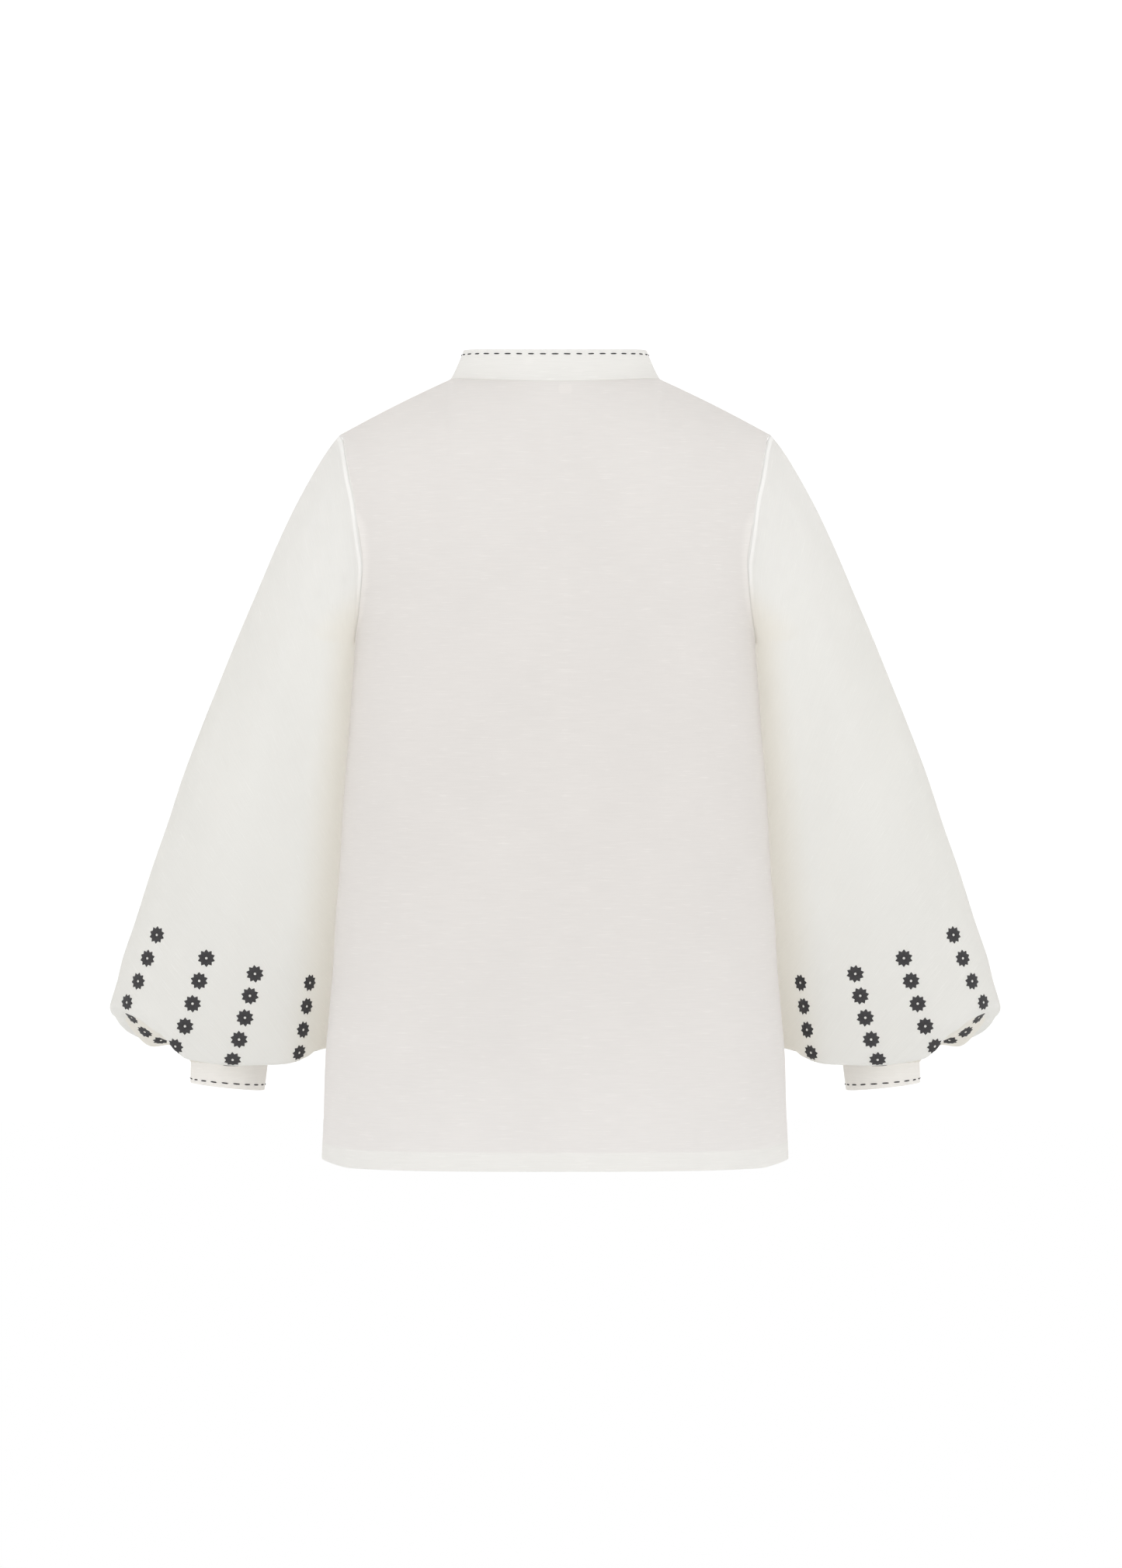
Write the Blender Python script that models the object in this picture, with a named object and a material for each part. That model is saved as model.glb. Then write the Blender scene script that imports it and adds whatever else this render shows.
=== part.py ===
"""Embroidered blouse, filled out as if worn, made of its sewn pieces.

Blender 4.5. Run with: blender --background --python part.py
The front faces -Y and the back faces +Y. The origin is the middle of the neck
base, level with the points where the shoulder seams meet the collar.
Sizes are in millimetres and are turned into metres when a mesh is made.
"""

import math
from collections import namedtuple

import bmesh
import bpy
from mathutils import Vector

for thing in list(bpy.data.objects):
    bpy.data.objects.remove(thing, do_unlink=True)

MM = 0.001

# Cloth
CLOTH = 1.2            # wall of a single layer with its ease
DOUBLED = 1.8          # wall where the cloth is folded double
GAP = 0.3              # room between two sewn pieces
HEM_DEPTH = 16.5

# Neck and shoulders
NECK_OUT = 94.5        # half width of the neckline
NECK_DEEP = 62.0       # half depth of the neckline
NECK_POINT = 2.0       # height where the shoulder seam meets the collar
BACK_NECK_DIP = 6.0
FRONT_NECK_DROP = 70.0
SHOULDER_OUT = 194.0
SHOULDER_TIP = -48.0
SHOULDER_BOW = 1.2

# Armhole
ARM_MID = -125.0
UNDERARM = -235.0
ARM_DEEP = {1: 62.0, -1: 58.0}      # half depth on the back, on the front

# Body
HEM = -701.0
CHEST_DEEP = {1: 130.0, -1: 138.0}
HEM_DEEP = {1: 150.0, -1: 150.0}
SLIT_WIDE = 8.0

# Collar
COLLAR_TOP_OUT = 82.6
COLLAR_TOP_DEEP = 53.0
COLLAR_SIDE_TOP = 28.0
COLLAR_BACK_TOP = 25.0
COLLAR_FRONT_TOP = -40.0

# Cuff
CUFF_OUT = 297.2
CUFF_FORWARD = -55.0
CUFF_SEAM = -615.5
CUFF_HIGH = 22.6       # from the seam to the end
CUFF_TUCK = 1.5        # stands up inside the sleeve above the seam
CUFF_TOP_RADIUS = 35.2
CUFF_END_RADIUS = 34.0
CUFF_END_TILT = math.radians(6.0)

# How finely the forms are cut into faces
AROUND = 24
NECK_STEPS = 5
SIDE_STEPS = 7

ARMHOLE = {
    "height": (-235, -209, -188, -168, -152, -134, -108, -91, -53, -48),
    "out": (180.0, 175.4, 172.8, 171.5, 173.6, 176.0, 179.4, 183.3, 190.8, 194.0),
}
BODY = {
    "height": (-701, -608, -566, -524, -482, -440, -398, -356, -314, -272, -235),
    "out": (209.6, 206.5, 203.0, 199.5, 197.4, 193.9, 191.8, 189.0, 185.5, 182.7, 180.0),
}
BODY_ROWS = (-262, -300, -350, -405, -460, -515, -570, -625, -665)

# Rings of the sleeve, each from its outer point down to its under point.
Ring = namedtuple("Ring", "out top under deep forward seam drop")
RINGS = (
    Ring(194.0, -48, -235, 60, 0, 1.0, 0),
    Ring(201.0, -56.5, -236.5, 61, -1, 0.80, 0),
    Ring(209.6, -69, -239, 63, -1, 0.60, 0),
    Ring(221.0, -88, -244, 65, -2, 0.38, 0),
    Ring(235.0, -114, -251, 68, -2, 0.20, 0),
    Ring(250.5, -147, -261, 71, -3, 0.07, 0),
    Ring(268.0, -188, -276, 74, -5, 0, 0),
    Ring(286.0, -230, -293, 76, -8, 0, 0),
    Ring(303.0, -272, -317, 78, -11, 0, 0),
    Ring(320.0, -314, -348, 80, -16, 0, 0),
    Ring(336.0, -356, -384, 83, -21, 0, 0),
    Ring(350.0, -398, -424, 86, -27, 0, 0),
    Ring(365.0, -440, -464, 90, -33, 0, 0),
    Ring(379.0, -483, -506, 94, -40, 0, 0),
    Ring(393.0, -525, -547, 97, -46, 0, 0.10),
    Ring(397.6, -547, -570, 98, -49, 0, 0.38),
    Ring(402.2, -566, -587, 98, -50, 0, 0.68),
    Ring(404.2, -577, -597, 95, -51, 0, 0.92),
    Ring(401.0, -583, -602, 90, -51, 0, 1.0),
    Ring(393.0, -585, -603, 82, -52, 0, 1.0),
)
UNDER_STEPS = 4        # from the lowest ring inwards to the cuff
UNDER_LIFT = 80.0      # sets the hollow of the underside, 6.5 at its deepest
FINE_FROM = 14         # below this ring the sleeve has twice as many points round
GATHERS = 24           # waves of the sleeve's edge where it is drawn into the cuff
GATHER_DEEP = 1.2
CLEAR = (0.3, 1.2, 2.0, 2.6)         # room to the body at the first rings
CLEAR_BELOW = 3.0

# The side of the sleeve next to the body leans on the front of the body: share 1 lies
# against it, with the room above, and 0 keeps the ring's own curve.
LEAN = {
    "angle": (-180, -166, -152, -135, -115, -95),
    "share": (0, 0.7, 0.9, 0.55, 0.15, 0),
}
LEAN_END = 18          # ring from which the sleeve no longer leans on the body
BALLOON_SQUARE = 3.2   # power of the balloon's rounded section: 2 is an ellipse

# How far the lower edge of the sleeve hangs below its ring. Angle 0 is
# outwards, 90 is the back, 180 is next to the body and -90 is the front.
LIP = {
    "angle": (-180, -150, -120, -90, -59, -47, -40, -27, -13, 0, 12, 25, 37, 45,
              51, 57, 61, 66, 71, 76, 93, 112, 129, 147, 160, 180),
    "drop": (0, 5, 9, 12, 15, 14.7, 14.3, 10, 2.3, -8, -15, -17.5, -15.3, -12.8,
             -8.4, -1.7, 1, 8, 16, 19.5, 20, 17, 14, 6, -1, 0),
}


def read(table, key, column, at):
    """Smooth value of one column of a table at a value of its key column."""
    keys, values = table[key], table[column]
    at = min(max(at, keys[0]), keys[-1])
    slot = 0
    while slot < len(keys) - 2 and at > keys[slot + 1]:
        slot += 1

    def rise(k):
        return (values[k + 1] - values[k]) / (keys[k + 1] - keys[k])

    def slope(k):
        if k == 0:
            return rise(0)
        if k == len(keys) - 1:
            return rise(k - 1)
        before, after = rise(k - 1), rise(k)
        return 0.0 if before * after <= 0 else 2 * before * after / (before + after)

    step = keys[slot + 1] - keys[slot]
    t = (at - keys[slot]) / step
    return (
        values[slot] * (1 + 2 * t) * (1 - t) ** 2
        + slope(slot) * step * t * (1 - t) ** 2
        + values[slot + 1] * t * t * (3 - 2 * t)
        + slope(slot + 1) * step * t * t * (t - 1)
    )


def mix(a, b, t):
    return a + (b - a) * t


def ease(t):
    t = min(max(t, 0.0), 1.0)
    return t * t * (3 - 2 * t)


def squareness(height):
    """Power of the body's rounded section: 2 is an ellipse, 3 is boxier."""
    if height > UNDERARM:
        return mix(2.4, 2.0, min((height - UNDERARM) / (SHOULDER_TIP - UNDERARM), 1.0))
    return mix(2.4, 3.0, min((UNDERARM - height) / (UNDERARM - HEM), 1.0))


def body_deep(side, height):
    share = min(max((UNDERARM - height) / (UNDERARM - HEM), -0.2), 1.0)
    return mix(CHEST_DEEP[side], HEM_DEEP[side], share)


def top_line(side, x):
    """Height of a panel's top edge: neckline, then shoulder seam."""
    x = abs(x)
    if x < NECK_OUT:
        turn = math.sqrt(1 - (x / NECK_OUT) ** 2)
        if side > 0:
            return NECK_POINT - BACK_NECK_DIP * turn**2
        return NECK_POINT - FRONT_NECK_DROP * turn**3
    t = (x - NECK_OUT) / (SHOULDER_OUT - NECK_OUT)
    return mix(NECK_POINT, SHOULDER_TIP, t) + SHOULDER_BOW * math.sin(math.pi * t)


def top_deep(x):
    """Half depth of the top edge: the oval neckline, then none on the ridge."""
    return NECK_DEEP * math.sqrt(max(0.0, 1 - (x / NECK_OUT) ** 2))


def armhole_row(angle):
    """Height on the armhole at an angle, 0 at its top and 180 at the underarm."""
    reach = ARM_MID - UNDERARM if angle > 90 else SHOULDER_TIP - ARM_MID
    return ARM_MID + reach * math.cos(math.radians(angle))


def edge_share(side, height):
    """Where the armhole cuts the body's section, as a share of its half width."""
    edge = ARM_DEEP[side] / body_deep(side, height)
    if height < ARM_MID:
        down = (height - ARM_MID) / (ARM_MID - UNDERARM)
        edge *= math.sqrt(max(0.0, 1 - down**2))
    power = squareness(height)
    return (1 - edge**power) ** (1 / power)


def body_wide(side, height):
    """Half width of the body's whole section, as if no armhole were cut in it."""
    if height <= UNDERARM:
        return read(BODY, "height", "out", height)
    height = min(height, SHOULDER_TIP)
    return read(ARMHOLE, "height", "out", height) / edge_share(side, height)


def panel_deep(side, x, z):
    """Depth of the outside of the back or the front at a place on it."""
    power = squareness(z)
    share = min(abs(x) / body_wide(side, z), 1.0)
    y = body_deep(side, z) * (1 - share**power) ** (1 / power)
    if z > UNDERARM:
        reach = mix(150.0, SHOULDER_TIP - ARM_MID, min(abs(x) / SHOULDER_OUT, 1.0))
        t = min(max((top_line(side, x) - z) / reach, 0.0), 1.0)
        bend = 1 / (1 + ease(abs(x) / 120.0))
        y = mix(top_deep(x), y, (1 - (1 - t) ** 2) ** bend)
    return side * max(y, GAP / 2)


def column_out(side, theta, row):
    """Half width at a column, 0 at the middle and 90 at the edge, of a row."""
    power = squareness(row)
    end = 90.0
    if row > UNDERARM:
        end = math.degrees(math.asin(edge_share(side, row) ** (power / 2)))
    return body_wide(side, row) * math.sin(math.radians(theta * end / 90)) ** (2 / power)


def panel_point(side, theta, row):
    """Point on the outside of the back (side 1) or the front (side -1)."""
    x = column_out(side, theta, row)
    z = row
    if row > UNDERARM:
        share = (SHOULDER_TIP - row) / (SHOULDER_TIP - UNDERARM)
        z += (top_line(side, x) - SHOULDER_TIP) * (1 - share)
    return Vector((x, panel_deep(side, x, z), z))


def body_out(height, y):
    """Half width of the body at a height and a depth."""
    if height > UNDERARM:
        return read(ARMHOLE, "height", "out", height)
    power = squareness(height)
    share = min(abs(y) / body_deep(1 if y > 0 else -1, height), 1.0)
    return read(BODY, "height", "out", height) * (1 - share**power) ** (1 / power)


def ring_at(place):
    """Ring of the sleeve at a place along it, also between two of the table."""
    places = tuple(range(len(RINGS)))
    columns = zip(*RINGS)
    return Ring(*(read({"place": places, "column": column}, "place", "column", place)
                  for column in columns))


def ring_points(place, angles):
    """Points round the sleeve, from its outer point over the back."""
    ring = ring_at(place)
    room = CLEAR[int(place)] if place < len(CLEAR) else CLEAR_BELOW
    power = mix(2.1, BALLOON_SQUARE, ease((place - 3) / 9))
    shape = []
    for angle in angles:
        a = math.radians(angle)
        c = math.copysign(abs(math.cos(a)) ** (2 / 2.1), math.cos(a))
        s = math.copysign((1 - abs(c) ** power) ** (1 / power), math.sin(a))
        z = mix(ring.under, ring.top, (1 + c) / 2)
        z -= ring.drop * read(LIP, "angle", "drop", (angle + 180) % 360 - 180)
        shape.append((c, ring.forward + ring.deep * s, z))
    near = max(
        (2 * (body_out(z, y) + room) - ring.out * (1 + c)) / (1 - c)
        for c, y, z in shape if c < -0.3
    )
    lean = ease(place / 3) * ease((LEAN_END - place) / 4)
    points = []
    for angle, (c, y, z) in zip(angles, shape):
        turn = (angle + 180) % 360 - 180
        point = Vector((mix(near, ring.out, (1 + c) / 2), y, z))
        if ring.seam > 0:
            row = armhole_row(abs(turn))
            seam = Vector((read(ARMHOLE, "height", "out", row) + GAP,
                           math.sin(math.radians(turn)) * ARM_DEEP[1 if turn >= 0 else -1],
                           row))
            flat_deep = 60.0 * abs(math.sin(math.radians(turn))) ** (2 / 2.1)
            flat = Vector((mix(180.0, SHOULDER_OUT, (1 + c) / 2),
                           math.copysign(flat_deep, turn),
                           mix(UNDERARM, SHOULDER_TIP, (1 + c) / 2)))
            point = seam if place == 0 else point + ring.seam * (seam - flat)
        share = lean * read(LEAN, "angle", "share", turn)
        point.x = mix(point.x, body_out(point.z, point.y) + room, share)
        points.append(point)
    return points


def cuff_ring(share, radius, angles):
    """Ring round the cuff, at a share of the way from its seam to its end."""
    tilt = CUFF_END_TILT * max(share, 0.0)
    middle = Vector((CUFF_OUT + 1.8 * share, CUFF_FORWARD, CUFF_SEAM - CUFF_HIGH * share))
    return [
        middle + radius * Vector((math.cos(math.radians(a)) * math.cos(tilt),
                                  math.sin(math.radians(a)),
                                  math.cos(math.radians(a)) * math.sin(tilt)))
        for a in angles
    ]


def paint(name, colour, roughness):
    material = bpy.data.materials.new(name)
    material.use_nodes = True
    surface = material.node_tree.nodes["Principled BSDF"]
    surface.inputs["Base Color"].default_value = (*colour, 1)
    surface.inputs["Roughness"].default_value = roughness
    return material


WHITE_CLOTH = paint("white cloth", (0.84, 0.82, 0.80), 0.9)
FOLDED_CLOTH = paint("white cloth doubled", (0.88, 0.87, 0.85), 0.9)
WHITE_TAPE = paint("white tape", (0.9, 0.9, 0.9), 0.8)


def shell(name, points, faces, walls, aims, material):
    """Closed wall of cloth with the given outside.

    walls has the thickness at each point, and aims has the direction of the
    wall where it doesn't follow the normal, as it does not along a seam.
    """
    outside = bmesh.new()
    for point in points:
        outside.verts.new(point)
    outside.verts.ensure_lookup_table()
    for face in faces:
        outside.faces.new([outside.verts[k] for k in face])
    outside.normal_update()
    count = len(points)
    corners = [point.copy() for point in points]
    for k, vert in enumerate(outside.verts):
        aim = aims[k].normalized() if k in aims else -vert.normal
        corners.append(vert.co + aim * walls[k])
    ways = {(face[k - 1], face[k]) for face in faces for k in range(len(face))}
    outside.free()
    every = list(faces) + [tuple(k + count for k in reversed(face)) for face in faces]
    every += [(b, a, a + count, b + count) for a, b in sorted(ways) if (b, a) not in ways]
    mesh = bpy.data.meshes.new(name)
    mesh.from_pydata([corner * MM for corner in corners], [], every)
    mesh.shade_smooth()
    mesh.set_sharp_from_angle(angle=math.radians(40))
    mesh.materials.append(material)
    piece = bpy.data.objects.new(name, mesh)
    bpy.context.scene.collection.objects.link(piece)
    return piece


def panel(name, side):
    """Back or front, with its doubled hem, and the neck slit in the front."""
    rows = [armhole_row(180 * j / (AROUND // 2)) for j in range(AROUND // 2 + 1)]
    slit_end = len(rows) - 1
    rows += list(BODY_ROWS) + [HEM + HEM_DEPTH + 0.5, HEM + HEM_DEPTH, HEM]
    power = squareness(SHOULDER_TIP)
    wide = body_wide(side, SHOULDER_TIP)
    end = math.asin((SHOULDER_OUT / wide) ** (power / 2))
    half = []
    for k in range(NECK_STEPS + 1):
        x = NECK_OUT * math.sin(math.radians(90 * k / NECK_STEPS))
        half.append(90 * math.asin((x / wide) ** (power / 2)) / end)
    neck = half[-1]
    half += [mix(neck, 90, k / SIDE_STEPS) for k in range(1, SIDE_STEPS + 1)]
    columns = [-t for t in reversed(half[1:])] + half
    middle = len(half) - 1
    points, walls, aims, place = [], [], {}, {}
    for j, row in enumerate(rows):
        for i, theta in enumerate(columns):
            point = panel_point(side, abs(theta), row)
            if theta < 0:
                point.x = -point.x
            copies = [point]
            slit = side < 0 and j < slit_end and i == middle
            if slit:
                open_by = Vector((SLIT_WIDE / 2 * (1 - j / slit_end), 0, 0))
                copies = [point - open_by, point + open_by]
            for turn, copy in enumerate(copies):
                index = len(points)
                place[j, i, turn] = index
                points.append(copy)
                walls.append(DOUBLED if row <= HEM + HEM_DEPTH else CLOTH)
                out = 1 if copy.x > 0 else -1
                if j == 0 and abs(theta) >= neck - 0.01:
                    aims[index] = Vector((-0.45 * out, 0, -1))
                elif abs(theta) == 90 and row <= UNDERARM:
                    aims[index] = Vector((-out, 0, 0))
                elif abs(theta) == 90:
                    aims[index] = Vector((-0.5 * out, -copy.y / 62, -(row - ARM_MID) / 90))
                elif j == len(rows) - 1:
                    aims[index] = Vector((-copy.x / 210**2, -copy.y / 150**2, 0))
                elif slit:
                    aims[index] = Vector((0, 1, 0))
            if len(copies) == 1:
                place[j, i, 1] = place[j, i, 0]
    faces = []
    for j in range(len(rows) - 1):
        for i in range(len(columns) - 1):
            quad = (place[j, i, 1], place[j + 1, i, 1], place[j + 1, i + 1, 0], place[j, i + 1, 0])
            faces.append(quad[::-1] if side > 0 else quad)
    return shell(name, points, faces, walls, aims, WHITE_CLOTH)


def tube(name, rings, walls, aims, side, material):
    """Closed wall from rings of points that all go the same way round.

    A ring may have twice as many points as the one before it.
    """
    points = [Vector((side * p.x, p.y, p.z)) for ring in rings for p in ring]
    aims = {k: Vector((side * v.x, v.y, v.z)) for k, v in aims.items()}
    faces = []
    start = 0
    for above, below in zip(rings, rings[1:]):
        count, step = len(above), len(below) // len(above)
        after = start + count
        for i in range(count):
            low = [after + (step * i + k) % len(below) for k in range(step, -1, -1)]
            face = (start + i, start + (i + 1) % count, *low)
            faces.append(face[::-1] if side > 0 else face)
        start = after
    return shell(name, points, faces, walls, aims, material)


def sleeve(name, side):
    coarse = [360 * k / AROUND for k in range(AROUND)]
    fine = [180 * k / AROUND for k in range(2 * AROUND)]
    rings = [ring_points(place, coarse if place < FINE_FROM else fine)
             for place in range(len(RINGS))]
    lip = rings[-1]
    cuff = cuff_ring(0, CUFF_TOP_RADIUS + GAP, fine)
    for k in range(1, UNDER_STEPS + 1):
        s = k / UNDER_STEPS
        ring = []
        for angle, p, q in zip(fine, lip, cuff):
            out = max(math.cos(math.radians(angle)), 0.0)
            wave = GATHER_DEEP * s * math.cos(math.radians(GATHERS * angle))
            lift = UNDER_LIFT * s**4 * (1 - s) * out**1.5
            ring.append(p.lerp(q, s) + Vector((0, 0, wave + lift)))
        rings.append(ring)
    count = sum(len(ring) for ring in rings)
    aims = {}
    for i, angle in enumerate(coarse):
        a = math.radians(angle)
        aims[i] = Vector((0.35 if math.cos(a) < -0.3 else 0.0, -math.sin(a), -math.cos(a)))
    for k in range(count - len(fine), count):
        aims[k] = Vector((0, 0, 1))
    return tube(name, rings, [CLOTH] * count, aims, side, WHITE_CLOTH)


def cuff(name, side):
    angles = [360 * k / AROUND for k in range(AROUND)]
    rings = [
        cuff_ring(share, mix(CUFF_TOP_RADIUS, CUFF_END_RADIUS, max(share, 0)), angles)
        for share in (-CUFF_TUCK / CUFF_HIGH, 0, 0.5, 1)
    ]
    middle = [sum(ring, Vector()) / AROUND for ring in rings]
    aims = {j * AROUND + i: middle[j] - p for j, ring in enumerate(rings) for i, p in enumerate(ring)}
    return tube(name, rings, [DOUBLED] * (len(rings) * AROUND), aims, side, FOLDED_CLOTH)


def collar(name):
    """Stand collar, open at the middle of the front."""
    start = math.degrees(math.asin(SLIT_WIDE / 2 / NECK_OUT))
    quarter = [90 * k / NECK_STEPS for k in range(NECK_STEPS + 1)]
    turns = [start] + [a for a in quarter[1:]] + [180 - a for a in reversed(quarter[:-1])]
    turns += [360 - a for a in reversed(turns[:-1])]
    rows = 3
    points, aims, faces = [], {}, []
    for j in range(rows + 1):
        t = j / rows
        for turn in turns:
            s, c = math.sin(math.radians(turn)), -math.cos(math.radians(turn))
            side = 1 if c > 0 else -1
            low = top_line(side, NECK_OUT * s) + GAP
            end, power = (COLLAR_BACK_TOP, 2) if c > 0 else (COLLAR_FRONT_TOP, 3)
            high = mix(COLLAR_SIDE_TOP, end, abs(c) ** power)
            wide = mix(NECK_OUT, COLLAR_TOP_OUT, t ** 0.85)
            deep = mix(NECK_DEEP, COLLAR_TOP_DEEP, t ** 0.85)
            index = len(points)
            points.append(Vector((wide * s, deep * c, mix(low, high, t))))
            aims[index] = Vector((-s / NECK_OUT, -c / NECK_DEEP, 0))
            if turn in (turns[0], turns[-1]):
                aims[index] = Vector((0, 1, 0))
    count = len(turns)
    for j in range(rows):
        for i in range(count - 1):
            faces.append((j * count + i, j * count + i + 1, (j + 1) * count + i + 1, (j + 1) * count + i))
    return shell(name, points, faces, [DOUBLED] * len(points), aims, FOLDED_CLOTH)


def neck_tag(name):
    """Small plain tag inside the middle of the back, hung from the collar seam."""
    points, faces = [], []
    facet = NECK_OUT * math.sin(math.radians(90 / NECK_STEPS))
    for j in range(3):
        for i in range(3):
            x = mix(-14.8, -3.2, i / 2)
            z = mix(-6.5, -14.0, j / 2)
            y = mix(panel_deep(1, 0, z), panel_deep(1, facet, z), -x / facet)
            points.append(Vector((x, y, z)))
    for j in range(2):
        for i in range(2):
            k = 3 * j + i
            faces.append((k, k + 1, k + 4, k + 3))
    normal = (points[6] - points[0]).cross(points[2] - points[0]).normalized()
    inside = [point + normal * (CLOTH + 2 * GAP) for point in points]
    return shell(name, inside, faces, [0.5] * 9, {}, WHITE_TAPE)


panel("back", 1)
panel("front", -1)
collar("collar")
for word, side in (("left", 1), ("right", -1)):
    sleeve("sleeve_" + word, side)
    cuff("cuff_" + word, side)
neck_tag("neck_tag")
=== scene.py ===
# %% [markdown]
# # A blouse with embroidered balloon sleeves
#
# This lesson dresses a imported model of a white blouse that is filled out as if it were worn.
# The imported model gives the frame: its pieces are rigid walls with the true cut of the
# garment. Here each wall but the small tag's is replaced by a thin, finely cut cloth on the
# same form, with its folds, its weave, its stitches and its embroidered flowers.
# The first cell loads the frame.

# %% Load the frame
import math
from collections import namedtuple

import bpy
import numpy as np
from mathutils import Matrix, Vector


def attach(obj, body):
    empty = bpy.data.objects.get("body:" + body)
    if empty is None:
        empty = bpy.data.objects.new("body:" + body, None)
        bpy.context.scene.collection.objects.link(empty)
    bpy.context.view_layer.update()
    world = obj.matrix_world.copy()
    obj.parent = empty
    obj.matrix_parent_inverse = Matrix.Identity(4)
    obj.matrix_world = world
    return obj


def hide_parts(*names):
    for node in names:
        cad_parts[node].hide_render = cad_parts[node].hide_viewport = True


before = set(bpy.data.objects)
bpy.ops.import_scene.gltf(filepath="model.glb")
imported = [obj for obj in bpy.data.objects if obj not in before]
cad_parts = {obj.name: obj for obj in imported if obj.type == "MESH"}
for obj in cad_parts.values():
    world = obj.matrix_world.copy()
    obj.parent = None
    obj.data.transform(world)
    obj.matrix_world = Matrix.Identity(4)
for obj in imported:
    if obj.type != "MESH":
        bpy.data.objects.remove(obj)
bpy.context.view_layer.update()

MM = 0.001
SIDES = {"left": 1, "right": -1}
print("frame nodes:", ", ".join(sorted(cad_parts)))

# %% [markdown]
# ## The camera
#
# The blouse is seen from behind by a camera 4.6 m away and level with the middle of the
# back. That distance is what lifts the corners of the hem by 11 mm in the picture. The
# picture is 2020 pixels high and shows 0.7 mm in a pixel at the middle of the garment.
# Only the lens, the place and the direction are set here. A short function puts any new
# mesh, light or camera into the scene.

# %% Camera
CAMERA_AWAY = 4.6
CAMERA_SIDE = -0.00525
CAMERA_HIGH = -0.3626
VIEW_HIGH = 1.414
SENSOR = 24.0


def put(name, data):
    """New object in the scene for a mesh, a light or a camera."""
    thing = bpy.data.objects.new(name, data)
    bpy.context.scene.collection.objects.link(thing)
    return thing


camera_data = bpy.data.cameras.new("camera")
camera_data.sensor_fit = "VERTICAL"
camera_data.sensor_height = SENSOR
camera_data.lens = SENSOR * CAMERA_AWAY / VIEW_HIGH
camera = put("camera", camera_data)
camera.location = (CAMERA_SIDE, CAMERA_AWAY, CAMERA_HIGH)
camera.rotation_euler = (math.radians(90), 0, math.radians(180))
bpy.context.scene.camera = camera
bpy.context.scene.view_settings.view_transform = "Standard"
print(f"lens {camera_data.lens:.1f} mm")

# %% [markdown]
# ## Sizes of the garment
#
# The sizes are those of the cut, in millimetres. Side 1 is the back and side -1 is the
# front. Short tables hold what no single number can: the armhole's outline, the width of
# the body from hem to underarm, the rings of the sleeve, and how far the sleeve's lower
# edge sags at each angle. A smooth reading of the tables joins their rows.

# %% Sizes and tables
CLOTH = 0.5            # wall of the cloth
CLOTH_FOLDED = 1.1     # wall of the collar and the cuffs
GAP = 0.3              # room between two sewn pieces
HEM_DEPTH = 16.5

NECK_OUT = 94.5
NECK_DEEP = 62.0
NECK_POINT = 2.0
BACK_NECK_DIP = 6.0
FRONT_NECK_DROP = 70.0
SHOULDER_OUT = 194.0
SHOULDER_TIP = -48.0
SHOULDER_BOW = 1.2

ARM_MID = -125.0
UNDERARM = -235.0
ARM_DEEP = {1: 62.0, -1: 58.0}

HEM = -701.0
CHEST_DEEP = {1: 130.0, -1: 138.0}
HEM_DEEP = 150.0
SLIT_WIDE = 8.0

COLLAR_TOP_OUT = 82.6
COLLAR_TOP_DEEP = 53.0
COLLAR_SIDE_TOP = 28.0
COLLAR_BACK_TOP = 25.0
COLLAR_FRONT_TOP = -40.0

CUFF_OUT = 297.2
CUFF_FORWARD = -55.0
CUFF_SEAM = -615.5
CUFF_HIGH = 22.6
CUFF_TUCK = 1.5
CUFF_TOP_RADIUS = 35.2
CUFF_END_RADIUS = 34.0
CUFF_END_TILT = math.radians(6.0)

ARMHOLE = {
    "height": (-235, -209, -188, -168, -152, -134, -108, -91, -53, -48),
    "out": (180.0, 175.4, 172.8, 171.5, 173.6, 176.0, 179.4, 183.3, 190.8, 194.0),
}
BODY = {
    "height": (-701, -608, -566, -524, -482, -440, -398, -356, -314, -272, -235),
    "out": (209.6, 206.5, 203.0, 199.5, 197.4, 193.9, 191.8, 189.0, 185.5, 182.7, 180.0),
}

Ring = namedtuple("Ring", "out top under deep forward seam drop")
RINGS = tuple(Ring(*row) for row in (
    (194.0, -48, -235, 60, 0, 1.0, 0),
    (201.0, -56.5, -236.5, 61, -1, 0.80, 0),
    (209.6, -69, -239, 63, -1, 0.60, 0),
    (221.0, -88, -244, 65, -2, 0.38, 0),
    (235.0, -114, -251, 68, -2, 0.20, 0),
    (250.5, -147, -261, 71, -3, 0.07, 0),
    (268.0, -188, -276, 74, -5, 0, 0),
    (286.0, -230, -293, 76, -8, 0, 0),
    (303.0, -272, -317, 78, -11, 0, 0),
    (320.0, -314, -348, 80, -16, 0, 0),
    (336.0, -356, -384, 83, -21, 0, 0),
    (350.0, -398, -424, 86, -27, 0, 0),
    (365.0, -440, -464, 90, -33, 0, 0),
    (379.0, -483, -506, 94, -40, 0, 0),
    (393.0, -525, -547, 97, -46, 0, 0.10),
    (397.6, -547, -570, 98, -49, 0, 0.38),
    (402.2, -566, -587, 98, -50, 0, 0.68),
    (404.2, -577, -597, 95, -51, 0, 0.92),
    (401.0, -583, -602, 90, -51, 0, 1.0),
    (393.0, -585, -603, 82, -52, 0, 1.0),
))
UNDER_LIFT = 80.0      # sets the hollow of the underside, 6.5 at its deepest
ROOM = {"place": (0, 1, 2, 3, 4), "room": (0.3, 1.2, 2.0, 2.6, 3.0)}
LEAN = {
    "angle": (-180, -166, -152, -135, -115, -95),
    "share": (0, 0.7, 0.9, 0.55, 0.15, 0),
}
LEAN_END = 18          # place along the sleeve from which it no longer leans on the body
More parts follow.
